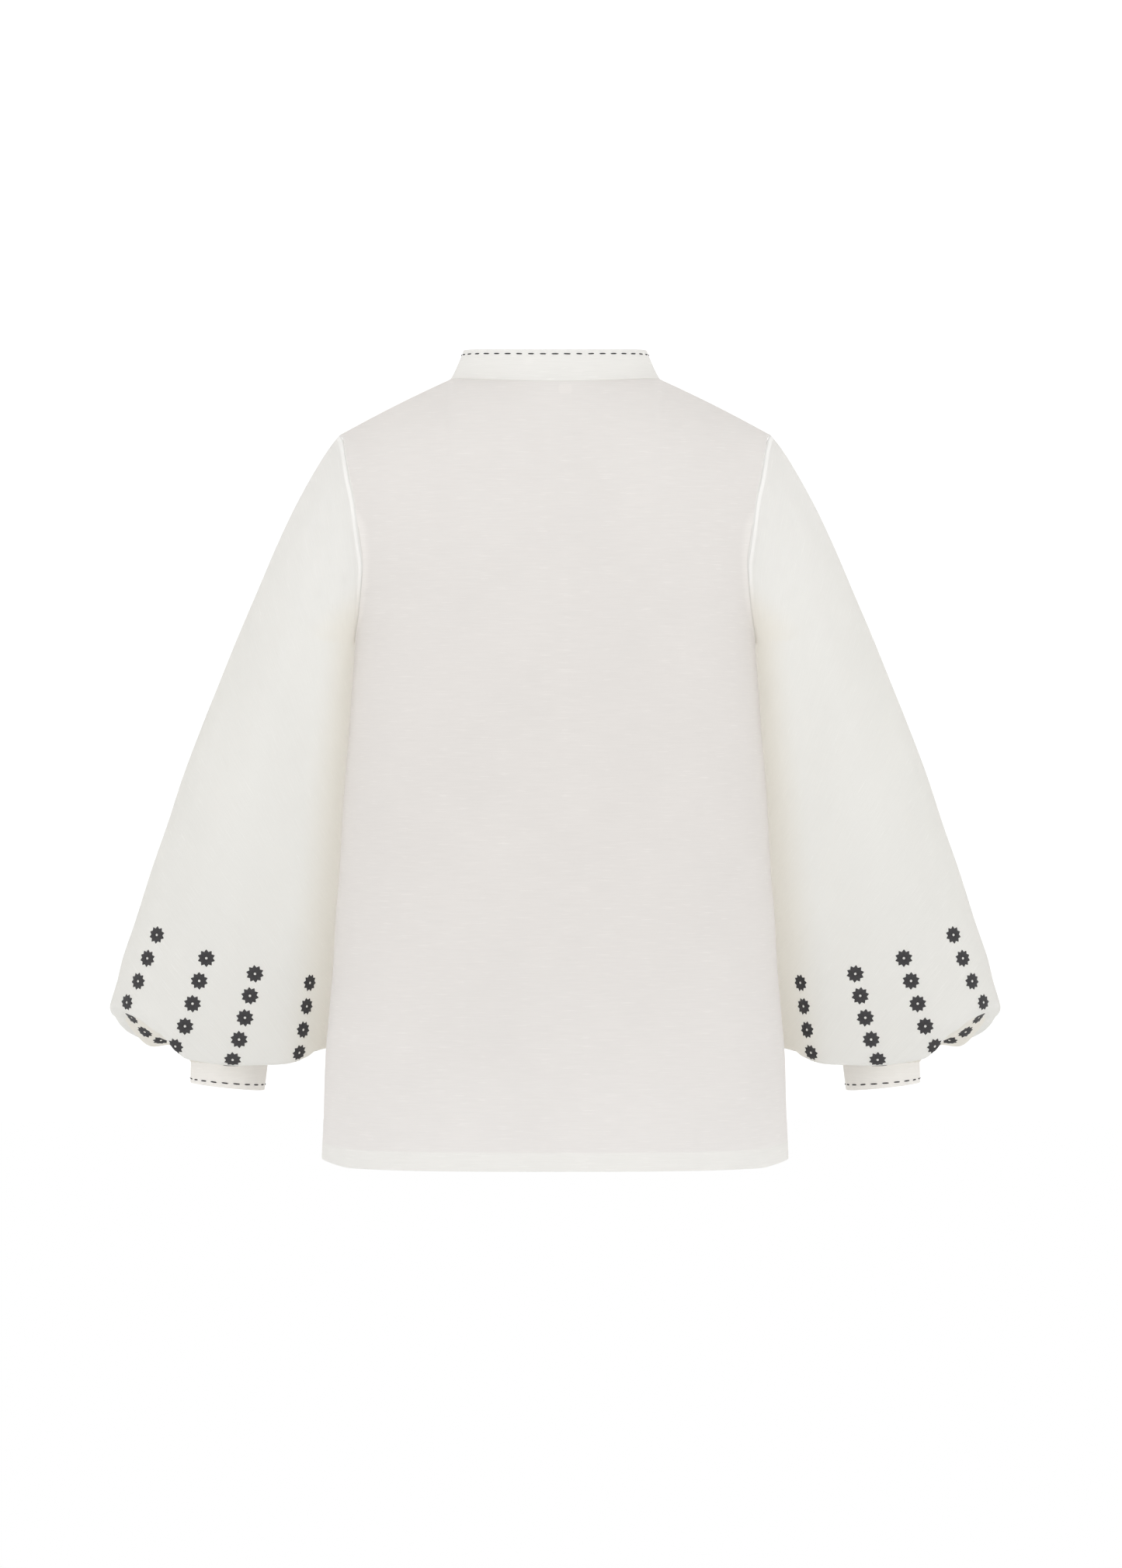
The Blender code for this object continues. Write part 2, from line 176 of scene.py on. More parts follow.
BALLOON_SQUARE = 3.2   # power of the balloon's rounded section: 2 is an ellipse
LIP = {
    "angle": (-180, -150, -120, -90, -59, -47, -40, -27, -13, 0, 12, 25, 37, 45,
              51, 57, 61, 66, 71, 76, 93, 112, 129, 147, 160, 180),
    "drop": (0, 5, 9, 12, 15, 14.7, 14.3, 10, 2.3, -8, -15, -17.5, -15.3, -12.8,
             -9, -3.6, -1.4, 5.4, 13.6, 18.4, 20, 17, 14, 6, -1, 0),
}
print("body is", round(-HEM + NECK_POINT), "mm long from the neck point to the hem")


# %% [markdown]
# ## The form
#
# Each function answers one question of a pattern maker: how wide is the body here, how
# deep is it, where does the neckline run, where is the armhole cut. Together they give a
# point on the back or the front for a column and a row, and a point on the sleeve for a
# place along it and an angle round it. Angle 0 is outwards, 90 is the back and 180 is
# next to the body.

# %% Form of the body
def read(table, key, column, at):
    """Smooth value of one column of a table at a value of its key column."""
    keys, values = table[key], table[column]
    at = min(max(at, keys[0]), keys[-1])
    slot = 0
    while slot < len(keys) - 2 and at > keys[slot + 1]:
        slot += 1

    def rise(k):
        return (values[k + 1] - values[k]) / (keys[k + 1] - keys[k])

    def slope(k):
        if k == 0:
            return rise(0)
        if k == len(keys) - 1:
            return rise(k - 1)
        before, after = rise(k - 1), rise(k)
        return 0.0 if before * after <= 0 else 2 * before * after / (before + after)

    step = keys[slot + 1] - keys[slot]
    t = (at - keys[slot]) / step
    return (
        values[slot] * (1 + 2 * t) * (1 - t) ** 2
        + slope(slot) * step * t * (1 - t) ** 2
        + values[slot + 1] * t * t * (3 - 2 * t)
        + slope(slot + 1) * step * t * t * (t - 1)
    )


def mix(a, b, t):
    return a + (b - a) * t


def ease(t):
    t = min(max(t, 0.0), 1.0)
    return t * t * (3 - 2 * t)


def squareness(height):
    """Power of the body's rounded section: 2 is an ellipse, 3 is boxier."""
    if height > UNDERARM:
        return mix(2.4, 2.0, min((height - UNDERARM) / (SHOULDER_TIP - UNDERARM), 1.0))
    return mix(2.4, 3.0, min((UNDERARM - height) / (UNDERARM - HEM), 1.0))


def body_deep(side, height):
    share = min(max((UNDERARM - height) / (UNDERARM - HEM), -0.2), 1.0)
    return mix(CHEST_DEEP[side], HEM_DEEP, share)


def top_line(side, x):
    """Height of a panel's top edge: neckline, then shoulder seam."""
    x = abs(x)
    if x < NECK_OUT:
        turn = math.sqrt(1 - (x / NECK_OUT) ** 2)
        if side > 0:
            return NECK_POINT - BACK_NECK_DIP * turn**2
        return NECK_POINT - FRONT_NECK_DROP * turn**3
    t = (x - NECK_OUT) / (SHOULDER_OUT - NECK_OUT)
    return mix(NECK_POINT, SHOULDER_TIP, t) + SHOULDER_BOW * math.sin(math.pi * t)


def top_deep(x):
    """Half depth of the top edge: the oval neckline, then none on the ridge."""
    return NECK_DEEP * math.sqrt(max(0.0, 1 - (x / NECK_OUT) ** 2))


def armhole_row(angle):
    """Height on the armhole at an angle, 0 at its top and 180 at the underarm."""
    reach = ARM_MID - UNDERARM if angle > 90 else SHOULDER_TIP - ARM_MID
    return ARM_MID + reach * math.cos(math.radians(angle))


def edge_share(side, height):
    """Where the armhole cuts the body's section, as a share of its half width."""
    edge = ARM_DEEP[side] / body_deep(side, height)
    if height < ARM_MID:
        down = (height - ARM_MID) / (ARM_MID - UNDERARM)
        edge *= math.sqrt(max(0.0, 1 - down**2))
    power = squareness(height)
    return (1 - edge**power) ** (1 / power)


def body_wide(side, height):
    """Half width of the body's whole section, as if no armhole were cut in it."""
    if height <= UNDERARM:
        return read(BODY, "height", "out", height)
    height = min(height, SHOULDER_TIP)
    return read(ARMHOLE, "height", "out", height) / edge_share(side, height)


def panel_deep(side, x, z):
    """Depth of the outside of the back or the front at a place on it."""
    power = squareness(z)
    share = min(abs(x) / body_wide(side, z), 1.0)
    y = body_deep(side, z) * (1 - share**power) ** (1 / power)
    if z > UNDERARM:
        reach = mix(150.0, SHOULDER_TIP - ARM_MID, min(abs(x) / SHOULDER_OUT, 1.0))
        t = min(max((top_line(side, x) - z) / reach, 0.0), 1.0)
        bend = 1 / (1 + ease(abs(x) / 120.0))
        y = mix(top_deep(x), y, (1 - (1 - t) ** 2) ** bend)
    return side * max(y, GAP / 2)


def column_out(side, theta, row):
    """Half width at a column, 0 at the middle and 90 at the edge, of a row."""
    power = squareness(row)
    end = 90.0
    if row > UNDERARM:
        end = math.degrees(math.asin(edge_share(side, row) ** (power / 2)))
    return body_wide(side, row) * math.sin(math.radians(theta * end / 90)) ** (2 / power)


def panel_point(side, theta, row):
    """Point on the outside of the back (side 1) or the front (side -1)."""
    x = column_out(side, theta, row)
    z = row
    if row > UNDERARM:
        share = (SHOULDER_TIP - row) / (SHOULDER_TIP - UNDERARM)
        z += (top_line(side, x) - SHOULDER_TIP) * (1 - share)
    return (x, panel_deep(side, x, z), z)


def body_out(height, y):
    """Half width of the body at a height and a depth."""
    if height > UNDERARM:
        return read(ARMHOLE, "height", "out", height)
    power = squareness(height)
    share = min(abs(y) / body_deep(1 if y > 0 else -1, height), 1.0)
    return read(BODY, "height", "out", height) * (1 - share**power) ** (1 / power)


# %% Form of the sleeve and the cuff
def ring_at(place):
    """Ring of the sleeve at a place along it, also between two of the table."""
    places = tuple(range(len(RINGS)))
    columns = zip(*RINGS)
    return Ring(*(read({"place": places, "column": column}, "place", "column", place)
                  for column in columns))


def ring_points(place, angles):
    """Points round the sleeve, from its outer point over the back."""
    ring = ring_at(place)
    room = read(ROOM, "place", "room", place)
    power = mix(2.1, BALLOON_SQUARE, ease((place - 3) / 9))
    shape = []
    for angle in angles:
        a = math.radians(angle)
        c = math.copysign(abs(math.cos(a)) ** (2 / 2.1), math.cos(a))
        s = math.copysign((1 - abs(c) ** power) ** (1 / power), math.sin(a))
        z = mix(ring.under, ring.top, (1 + c) / 2)
        z -= ring.drop * read(LIP, "angle", "drop", (angle + 180) % 360 - 180)
        shape.append((c, ring.forward + ring.deep * s, z))
    near = max(
        (2 * (body_out(z, y) + room) - ring.out * (1 + c)) / (1 - c)
        for c, y, z in shape if c < -0.3
    )
    lean = ease(place / 3) * ease((LEAN_END - place) / 4)
    points = []
    for angle, (c, y, z) in zip(angles, shape):
        turn = (angle + 180) % 360 - 180
        point = Vector((mix(near, ring.out, (1 + c) / 2), y, z))
        if ring.seam > 0:
            row = armhole_row(abs(turn))
            seam = Vector((read(ARMHOLE, "height", "out", row) + GAP,
                           math.sin(math.radians(turn)) * ARM_DEEP[1 if turn >= 0 else -1],
                           row))
            flat_deep = 60.0 * abs(math.sin(math.radians(turn))) ** (2 / 2.1)
            flat = Vector((mix(180.0, SHOULDER_OUT, (1 + c) / 2),
                           math.copysign(flat_deep, turn),
                           mix(UNDERARM, SHOULDER_TIP, (1 + c) / 2)))
            point = seam if place == 0 else point + ring.seam * (seam - flat)
        share = lean * read(LEAN, "angle", "share", turn)
        point.x = mix(point.x, body_out(point.z, point.y) + room, share)
        points.append(point)
    return points


def cuff_ring(share, radius, angles):
    """Ring round the cuff, at a share of the way from its seam to its end."""
    tilt = CUFF_END_TILT * max(share, 0.0)
    middle = Vector((CUFF_OUT + 1.8 * share, CUFF_FORWARD, CUFF_SEAM - CUFF_HIGH * share))
    return [
        middle + radius * Vector((math.cos(math.radians(a)) * math.cos(tilt),
                                  math.sin(math.radians(a)),
                                  math.cos(math.radians(a)) * math.sin(tilt)))
        for a in angles
    ]


print("sleeve is", round(2 * ring_at(14).deep), "mm deep at its fullest")


# %% [markdown]
# ## Building with nodes
#
# Materials and Geometry Nodes trees are both graphs of nodes. One helper adds a node, sets
# its options, and joins or fills its inputs by name, so that a tree reads from top to
# bottom like a recipe. The others are steps that several of the trees share.

# %% Helpers for node trees
def add(tree, kind, options=None, **inputs):
    """Adds a node. An input is a socket to join, or a value; spaces in names become _."""
    node = tree.nodes.new(kind)
    for option, value in (options or {}).items():
        setattr(node, option, value)
    for name, value in inputs.items():
        slot = int(name[1:]) if name[0] == "i" and name[1:].isdigit() else name.replace("_", " ")
        if isinstance(value, bpy.types.NodeSocket):
            tree.links.new(value, node.inputs[slot])
        else:
            node.inputs[slot].default_value = value
    return node


def combine(tree, operation, first, second=None, third=None):
    """Result of a Math node on two or three numbers or sockets."""
    inputs = {"i0": first}
    if second is not None:
        inputs["i1"] = second
    if third is not None:
        inputs["i2"] = third
    return add(tree, "ShaderNodeMath", {"operation": operation}, **inputs).outputs[0]


def between(tree, value, low, high, to_low=0.0, to_high=1.0):
    """Value turned from one range into another with a soft start and end."""
    return add(tree, "ShaderNodeMapRange", {"interpolation_type": "SMOOTHSTEP"}, Value=value,
               From_Min=low, From_Max=high, To_Min=to_low, To_Max=to_high).outputs["Result"]


def attribute(tree, name):
    """Value of a vertex distance in a material."""
    return add(tree, "ShaderNodeAttribute", {"attribute_name": name}).outputs["Fac"]


def scaled(tree, vector, factor):
    """Colour or vector times a number."""
    return add(tree, "ShaderNodeVectorMath", {"operation": "SCALE"}, i0=vector,
               Scale=factor).outputs[0]


def ripple(tree, value, step):
    """Sine that repeats at each step of a value."""
    return combine(tree, "SINE", combine(tree, "MULTIPLY", value, 2 * math.pi / step))


def new_material(name, **finish):
    """A material, its tree and its surface, with a finish given by input names."""
    material = bpy.data.materials.new(name)
    material.use_nodes = True
    surface = material.node_tree.nodes["Principled BSDF"]
    for option, value in finish.items():
        surface.inputs[option.replace("_", " ")].default_value = value
    return material, material.node_tree, surface


def cover(tree, surface, colour, height, strength, distance):
    """Joins a colour and a relief to a surface."""
    bump = add(tree, "ShaderNodeBump", Height=height, Strength=strength, Distance=distance)
    tree.links.new(bump.outputs[0], surface.inputs["Normal"])
    tree.links.new(colour, surface.inputs["Base Color"])


print("node helpers ready")


# %% [markdown]
# ## The cloth
#
# The blouse is sewn of a light, slightly sheer cotton and linen cloth. Its weft has slubs,
# short stretches of thicker thread, which show as fine level streaks. Where the cloth lies
# double, as in the hem, the collar, the cuffs and the seam allowances, less light passes
# and it looks whiter. Each vertex knows how far it is from the nearest hem, from the nearest
# seam, from the tag and from the body, in millimetres. The material turns the first three
# into crisp strips, a thin line of painted shade along each seam, a band of painted light
# beside the body's side seams and a pale patch where the tag shows through, and the last
# into a painted warm shade where a sleeve hangs beside the body and on its underside. The
# weave follows the cloth, because it reads the piece's own UV map, which is in metres.

# %% Cloth material
SINGLE = (0.938, 0.926, 0.915)
SLEEVE_SINGLE = (0.967, 0.966, 0.956)
DOUBLE = (0.911, 0.905, 0.886)
SLEEVE_DOUBLE = (0.984, 0.982, 0.970)
# The cuffs' doubled cloth is paler and warmer than the other doubled cloth: painted light against the
# shade under the balloon.
LIT_CUFF_DOUBLE = (0.955, 0.942, 0.920)
SINGLE_SHEER = 0.74    # share of the light that goes on through the cloth
SLEEVE_SHEER = 0.81
DOUBLE_SHEER = 0.52
PAINTED_WARM_SHADE = (1.0, 0.986, 0.962)    # painted warm shade of the sleeve beside the body and on its underside
WARM_SHADE_FROM = 46         # distance from the body at which that painted shade starts
WARM_SHADE_FULL = 4
SEAM_SHADE = 0.90      # painted shade of a seam's narrow gap: how much darker the line along a seam is than the cloth
TAG_SHADE = 1.03
EDGE_FROM = 16         # distance from a seam at which painted light starts to make the cloth paler, against the shade the sleeve casts there
EDGE_FULL = 4
BASE_TONE = 0.925
THREAD_STEP = 0.00055  # from one thread of the weave to the next, in metres


def streaks(tree, place, long, high, detail=1.0):
    """Noise drawn out along the weft: long and high are the size of a streak in metres."""
    mapping = add(tree, "ShaderNodeMapping", Vector=place, Scale=(1 / long, 1 / high, 1.0))
    noise = add(tree, "ShaderNodeTexNoise", Vector=mapping.outputs[0], Scale=1.0, Detail=detail)
    return noise.outputs[0]


def cloth_material(name, single, double=DOUBLE, seam_depth=7.0, seam_white=0.55,
                   single_sheer=SINGLE_SHEER, edge_painted_light=1.0, all_double=False):
    """Sheer cloth in a single and a double colour, with strips along its seams and hems, painted
    shade along each seam's line, painted light near the seams and a painted warm shade beside the
    body.
    """
    material, tree, surface = new_material(name, Roughness=0.85, Specular_IOR_Level=0.2,
                                           Sheen_Weight=0.05, Sheen_Roughness=0.5)
    place = add(tree, "ShaderNodeTexCoord").outputs["UV"]
    from_seam = attribute(tree, "from_seam")
    hem_strip = between(tree, attribute(tree, "from_hem"), HEM_DEPTH + 0.5, HEM_DEPTH - 0.5)
    seam_strip = between(tree, from_seam, seam_depth + 0.6, seam_depth - 0.6, 0.0, seam_white)
    folded = combine(tree, "MAXIMUM", hem_strip, seam_strip)
    # painted warm shade where a sleeve hangs beside the body and on its underside
    painted_warm_shade = between(tree, attribute(tree, "from_body"), WARM_SHADE_FROM, WARM_SHADE_FULL)

    weft = streaks(tree, place, 0.030, 0.0011)
    fine = streaks(tree, place, 0.012, 0.0005)
    slub = between(tree, streaks(tree, place, 0.018, 0.0009, 0.0), 0.70, 0.80)
    cloud = add(tree, "ShaderNodeTexNoise", Vector=place, Scale=9.0, Detail=2.0).outputs[0]
    tone = BASE_TONE
    for pattern, weight in ((weft, 0.05), (fine, 0.03), (cloud, 0.03), (slub, 0.05)):
        tone = combine(tree, "MULTIPLY_ADD", pattern, weight, tone)
    # painted shade along the line of each seam, the pale patch where the tag shows through, and
    # painted light near the body's side seams
    for shade in (between(tree, from_seam, 1.5, 0.7, 1.0, SEAM_SHADE),
                  between(tree, attribute(tree, "from_tag"), 0.8, -0.4, 1.0, TAG_SHADE),
                  between(tree, from_seam, EDGE_FROM, EDGE_FULL, 1.0, edge_painted_light)):
        tone = combine(tree, "MULTIPLY", tone, shade)

    layers, tint = (
        add(tree, "ShaderNodeMix", {"data_type": "RGBA"}, Factor=share, i6=(*low, 1),
            i7=(*high, 1)).outputs[2]
        for share, low, high in ((folded, single, double), (painted_warm_shade, (1, 1, 1), PAINTED_WARM_SHADE))
    )
    tinted = add(tree, "ShaderNodeVectorMath", {"operation": "MULTIPLY"}, i0=layers, i1=tint)
    painted = scaled(tree, tinted.outputs[0], tone)

    split = add(tree, "ShaderNodeSeparateXYZ", Vector=place).outputs
    weave = combine(tree, "MULTIPLY", *(ripple(tree, split[k], THREAD_STEP) for k in (0, 1)))
    relief = combine(tree, "MULTIPLY_ADD", weft, 1.2, combine(tree, "MULTIPLY", weave, 0.25))
    cover(tree, surface, painted, relief, 0.35, 0.00025)

    through = add(tree, "ShaderNodeBsdfTranslucent", Color=painted)
    sheer = combine(tree, "MULTIPLY_ADD", folded, DOUBLE_SHEER - single_sheer, single_sheer)
    if all_double:
        sheer = DOUBLE_SHEER
    both = add(tree, "ShaderNodeMixShader", i0=sheer, i1=surface.outputs[0], i2=through.outputs[0])
    tree.links.new(both.outputs[0], tree.nodes["Material Output"].inputs["Surface"])
    return material


# The body's cloth takes painted light near its side seams, against the shade of the sleeves beside
# it.
SHIRTING = cloth_material("white shirting", SINGLE, seam_white=0.2, edge_painted_light=1.045)
SLEEVE_SHIRTING = cloth_material("white sleeve shirting", SLEEVE_SINGLE, SLEEVE_DOUBLE, 4.8, 1.0,
                                 SLEEVE_SHEER)
FOLDED_SHIRTING = cloth_material("white shirting folded double", DOUBLE, all_double=True)
CUFF_SHIRTING = cloth_material("white shirting of the cuffs", LIT_CUFF_DOUBLE, all_double=True)
print("cloth materials made")


# %% [markdown]
# ## From a grid of points to a piece of cloth
#
# Every piece is first a grid of points on the outside of the form: rows down the piece and
# columns across it. The grid becomes a mesh with a UV map in metres, and a Solidify
# modifier gives it its wall, inwards, so that the outside stays where the cut says.
# The modifier's result is turned into a plain mesh at once.

# %% Cloth from a grid
FAR = 1000.0           # a distance that means nowhere near
MARKS = ("from_seam", "from_hem", "from_tag", "from_body")


def looped(grid):
    """A closed grid with its first column again at the end."""
    return np.concatenate([grid, grid[:, :1]], axis=1)


def row_lengths(grid, axis):
    """Running length in metres along one axis of a grid of points."""
    steps = np.linalg.norm(np.diff(grid, axis=axis), axis=2)
    shape = list(grid.shape[:2])
    shape[axis] = 1
    return np.concatenate([np.zeros(shape), np.cumsum(steps, axis=axis)], axis=axis) * MM


def normals(grid, closed):
    """Unit normals of a grid of points; they point to the right of rows crossed with columns."""
    if closed:
        across = np.roll(grid, -1, axis=1) - np.roll(grid, 1, axis=1)
    else:
        across = np.gradient(grid, axis=1)
    down = np.gradient(grid, axis=0)
    normal = np.cross(down, across)
    return normal / np.maximum(np.linalg.norm(normal, axis=2, keepdims=True), 1e-9)


def sheet_mesh(name, grid, uv, closed, flip, skip=(), **marks):
    """One-sided mesh of a grid in millimetres, with its UV map and its vertex distances."""
    rows, columns = grid.shape[:2]
    faces, corners = [], []
    for j in range(rows - 1):
        for i in range(columns if closed else columns - 1):
            if i in skip:
                continue
            loop = [(j, i), (j + 1, i), (j + 1, i + 1), (j, i + 1)]
            loop = loop[::-1] if flip else loop
            faces.append([a * columns + b % columns for a, b in loop])
            corners += [uv[a, b] for a, b in loop]
    mesh = bpy.data.meshes.new(name)
    mesh.from_pydata((grid.reshape(-1, 3) * MM).tolist(), [], faces)
    layer = mesh.uv_layers.new(name="weave")
    layer.data.foreach_set("uv", np.array(corners).ravel())
    for mark in MARKS:
        values = np.broadcast_to(marks.get(mark, FAR), (rows, columns)).ravel()
        mesh.attributes.new(mark, "FLOAT", "POINT").data.foreach_set("value", values)
    return put(name, mesh)


def plain_mesh(piece, name):
    """Replaces a piece by the plain mesh of what its modifiers make."""
    graph = bpy.context.evaluated_depsgraph_get()
    mesh = bpy.data.meshes.new_from_object(piece.evaluated_get(graph))
    mesh.name = name
    result = put(name, mesh)
    bpy.data.objects.remove(piece, do_unlink=True)
    return result


OUTSIDES = {}


def give_wall(piece, thickness, material):
    """Turns a one-sided mesh into a closed thin wall of one material.

    A copy of the one-sided mesh is kept for the stitches that go on it.
    """
    name = piece.name
    piece.name = name + " surface"
    OUTSIDES[name] = put(name + " outside", piece.data.copy())
    weld = piece.modifiers.new("weld", "WELD")
    weld.merge_threshold = 0.000005
    solidify = piece.modifiers.new("wall", "SOLIDIFY")
    solidify.thickness = thickness * MM
    solidify.offset = -1
    wall = plain_mesh(piece, name)
    wall.data.materials.clear()
    wall.data.materials.append(material)
    wall.data.shade_smooth()
    wall.data.set_sharp_from_angle(angle=math.radians(50))
    print(f"{name}: {sum(len(f.vertices) - 2 for f in wall.data.polygons)} triangles")
    return wall


# %% [markdown]
# ## Back and front
#
# The back is cut in one piece and hangs almost smooth, so its few folds are soft and
# shallow. Each fold is a row in a table: where its middle lies, how it leans, how long and
# how wide it is, and how far it stands out. A trough has a negative height. The front is
# hidden in the picture. It is plain, with a slit at the neck so that the head can pass.

# %% Back and front
NECK_COLUMNS = 30
SIDE_COLUMNS = 40
ARMHOLE_ROWS = 60
BODY_ROWS = 104
CORNER_LIFT = 3.4      # how far the side seams draw the hem up
CORNER_OUT = 180       # half width at which that starts
CORNER_WIDE = 28
CORNER_HIGH = 70
SEAM_TOP = -135        # height from which the armhole's seam strip fades out upwards
SEAM_FADE = 30
CALM = 25              # width of the strip at a seam in which the folds die away
TAG = (-9.0, -11.5, 5.8, 4.2)    # middle across and up, and half sizes, of the neck tag

Fold = namedtuple("Fold", "x z lean long wide high")
BACK_FOLDS = tuple(Fold(*row) for row in (
    (-150, -560, 4, 150, 22, 1.2),
    (158, -520, -5, 170, 20, 1.0),
    (-100, -600, 3, 110, 26, -1.0),
    (112, -610, -2, 120, 24, -1.1),
    (20, -480, 1, 200, 40, 0.8),
    (-150, -215, 38, 45, 9, -1.0),
    (151, -220, -36, 42, 8, -1.0),
    (-30, -624, 88, 150, 10, -0.7),
    (-196, -650, 12, 26, 14, -1.3),
    (194, -655, -14, 24, 15, -1.2),
    (-120, -30, 62, 50, 9, -0.9),
    (124, -32, -62, 46, 9, -0.9),
))
FRONT_FOLDS = tuple(Fold(*row) for row in (
    (-145, -540, 5, 160, 24, 1.2),
    (150, -560, -3, 150, 20, 1.1),
    (-90, -590, 2, 120, 26, -1.2),
    (95, -580, -4, 130, 22, -1.0),
    (-20, -470, -1, 180, 34, 0.9),
    (-148, -212, 36, 45, 9, -1.0),
    (150, -216, -38, 40, 8, -1.1),
))


def ease_all(t):
    t = np.clip(t, 0, 1)
    return t * t * (3 - 2 * t)


def fold_heights(grid, folds):
    """How far the folds lift each point of a panel."""
    lift = np.zeros(grid.shape[:2])
    for fold in folds:
        lean = math.radians(fold.lean)
        x, z = grid[..., 0] - fold.x, grid[..., 2] - fold.z
        along = z * math.cos(lean) + x * math.sin(lean)
        across = x * math.cos(lean) - z * math.sin(lean)
        lift += fold.high * np.exp(-(along / fold.long) ** 2 - (across / fold.wide) ** 2)
    return lift


def panel_columns(side):
    """Columns of a panel from its middle to its side, close to the neck point."""
    power = squareness(SHOULDER_TIP)
    wide = body_wide(side, SHOULDER_TIP)
    end = math.asin((SHOULDER_OUT / wide) ** (power / 2))
    half = []
    for k in range(NECK_COLUMNS + 1):
        x = NECK_OUT * math.sin(math.radians(90 * k / NECK_COLUMNS))
        half.append(90 * math.asin((x / wide) ** (power / 2)) / end)
    return half + [mix(half[-1], 90, k / SIDE_COLUMNS) for k in range(1, SIDE_COLUMNS + 1)]


def panel(name, side, folds):
    half = panel_columns(side)
    rows = [armhole_row(180 * j / ARMHOLE_ROWS) for j in range(ARMHOLE_ROWS + 1)]
    slit_end = len(rows) - 1
    rows += [mix(UNDERARM, HEM, k / BODY_ROWS) for k in range(1, BODY_ROWS + 1)]
    right = np.array([[panel_point(side, theta, row) for theta in half] for row in rows])
    left = right[:, ::-1] * (-1, 1, 1)
    grid = np.concatenate([left, right], axis=1)
    middle = len(half) - 1

    out = -normals(grid, False) * side
    across = row_lengths(grid, 1)
    edge = np.minimum(across, across[:, -1:] - across) / MM
    hem = grid[..., 2] - HEM
    corner = ease_all((np.abs(grid[..., 0]) - CORNER_OUT) / CORNER_WIDE)
    grid[..., 2] += CORNER_LIFT * corner * ease_all(1 - hem / CORNER_HIGH)
    seam = edge + 20 * ease_all((grid[..., 2] - SEAM_TOP) / SEAM_FADE)
    beside_tag = np.maximum(np.abs(grid[..., 0] - TAG[0]) - TAG[2],
                            np.abs(grid[..., 2] - TAG[1]) - TAG[3])
    calm = np.clip(edge / CALM, 0, 1)
    grid += out * (fold_heights(grid, folds) * calm)[..., None]
    if side < 0:
        for j in range(slit_end):
            open_by = SLIT_WIDE / 2 * (1 - j / slit_end)
            grid[j, middle, 0] -= open_by
            grid[j, middle + 1, 0] += open_by
    across = row_lengths(grid, 1)
    across -= across[:, middle:middle + 1]
    uv = np.stack([across, grid[..., 2] * MM], axis=2)
    piece = sheet_mesh(name, grid, uv, False, side > 0, (middle,), from_seam=seam,
                       from_hem=hem, from_tag=beside_tag if side > 0 else FAR)
    return give_wall(piece, CLOTH, SHIRTING)


back = panel("back_cloth", 1, BACK_FOLDS)
front = panel("front_cloth", -1, FRONT_FOLDS)

# %% [markdown]
# ## Sleeves
#
# A balloon sleeve is cut almost straight and very full, and its end is gathered into a
# narrow cuff, so the cloth swings out, turns under and runs back in. Long soft folds fall
# from the shoulder, and short pleats fan out from the cuff. The folds follow the length of
# the sleeve: a row in the table gives the angle at both ends, where the fold starts and
# stops, and its width in degrees. The creases are short and lie mostly at the underarm.
# Each has its two ends, seen from the back or the front, and its width. The underside sags
# behind the raised part of the lower edge, and arches on the side of the front.

# %% Sleeves
AROUND = 192
PLACE_STEPS = (3, 3, 4, 5, 7, 9, 9, 9, 9, 9, 9, 9, 9, 9, 6, 6, 5, 4, 3)
UNDER_ROWS = 20
PLEATS = 26
PLEAT_HIGH = 1.5
SAG_DEEP = 12.0        # sag of the underside behind the raised lip
SAG_ANGLE, SAG_WIDE = 7, 20
SAG_PLACE, SAG_LONG = 0.36, 0.27
ARCH_HIGH = 4.5        # rise of the underside's far side
ARCH_ANGLE, ARCH_WIDE = -42, 30
WARM_SHADE_TOP = -230        # height from which the painted warm shade fades out towards the armhole
WARM_SHADE_FADE = 70
UNDER_AWAY = 10        # distance from the body that the underside counts as, so that it takes the painted warm shade

Crease = namedtuple("Crease", "x z to_x to_z wide high")
CREASES = {
    1: (
        (193, -176, 182, -187, 3.2, -1.1),
        (214, -160, 186, -196, 4.5, -1.0),
        (222, -184, 188, -214, 5.0, -1.2),
        (206, -206, 186, -226, 4.0, 0.9),
        (236, -214, 192, -240, 6.0, -1.1),
        (200, -92, 226, -150, 5.0, 0.9),
        (206, -118, 216, -176, 5.5, -0.8),
        (330, -566, 314, -590, 5.0, -1.2),
    ),
    -1: (
        (216, -164, 187, -198, 4.8, -1.1),
        (208, -184, 185, -207, 3.8, 0.9),
        (228, -190, 190, -220, 5.5, -1.2),
        (234, -222, 194, -243, 6.0, -1.0),
        (203, -96, 224, -152, 5.5, 0.9),
        (336, -560, 318, -588, 5.5, -1.1),
    ),
}

Swing = namedtuple("Swing", "from_angle to_angle start stop wide high")
SWINGS = tuple(Swing(*row) for row in (
    (78, 84, 2, 15, 9, 1.4),
    (55, 52, 6, 16, 10, -1.6),
    (112, 104, 5, 14, 9, -1.2),
    (130, 122, 7, 15, 8, 1.2),
    (34, 30, 8, 16, 9, 1.0),
    (-80, -86, 3, 15, 10, 1.4),
    (-52, -48, 6, 16, 9, -1.5),
    (-110, -102, 5, 15, 9, -1.3),
    (-128, -120, 7, 15, 8, 1.1),
    (-25, -28, 8, 16, 10, 1.1),
))


def swing_heights(places, angles):
    """How far the long folds lift each point of the sleeve."""
    lift = np.zeros((len(places), len(angles)))
    places = np.array(places)[:, None]
    for swing in SWINGS:
        t = np.clip((places - swing.start) / (swing.stop - swing.start), 0, 1)
        middle = mix(swing.from_angle, swing.to_angle, t)
        away = (np.array(angles)[None, :] - middle + 180) % 360 - 180
        lift += swing.high * np.sin(np.pi * t) * np.exp(-(away / swing.wide) ** 2)
    return lift


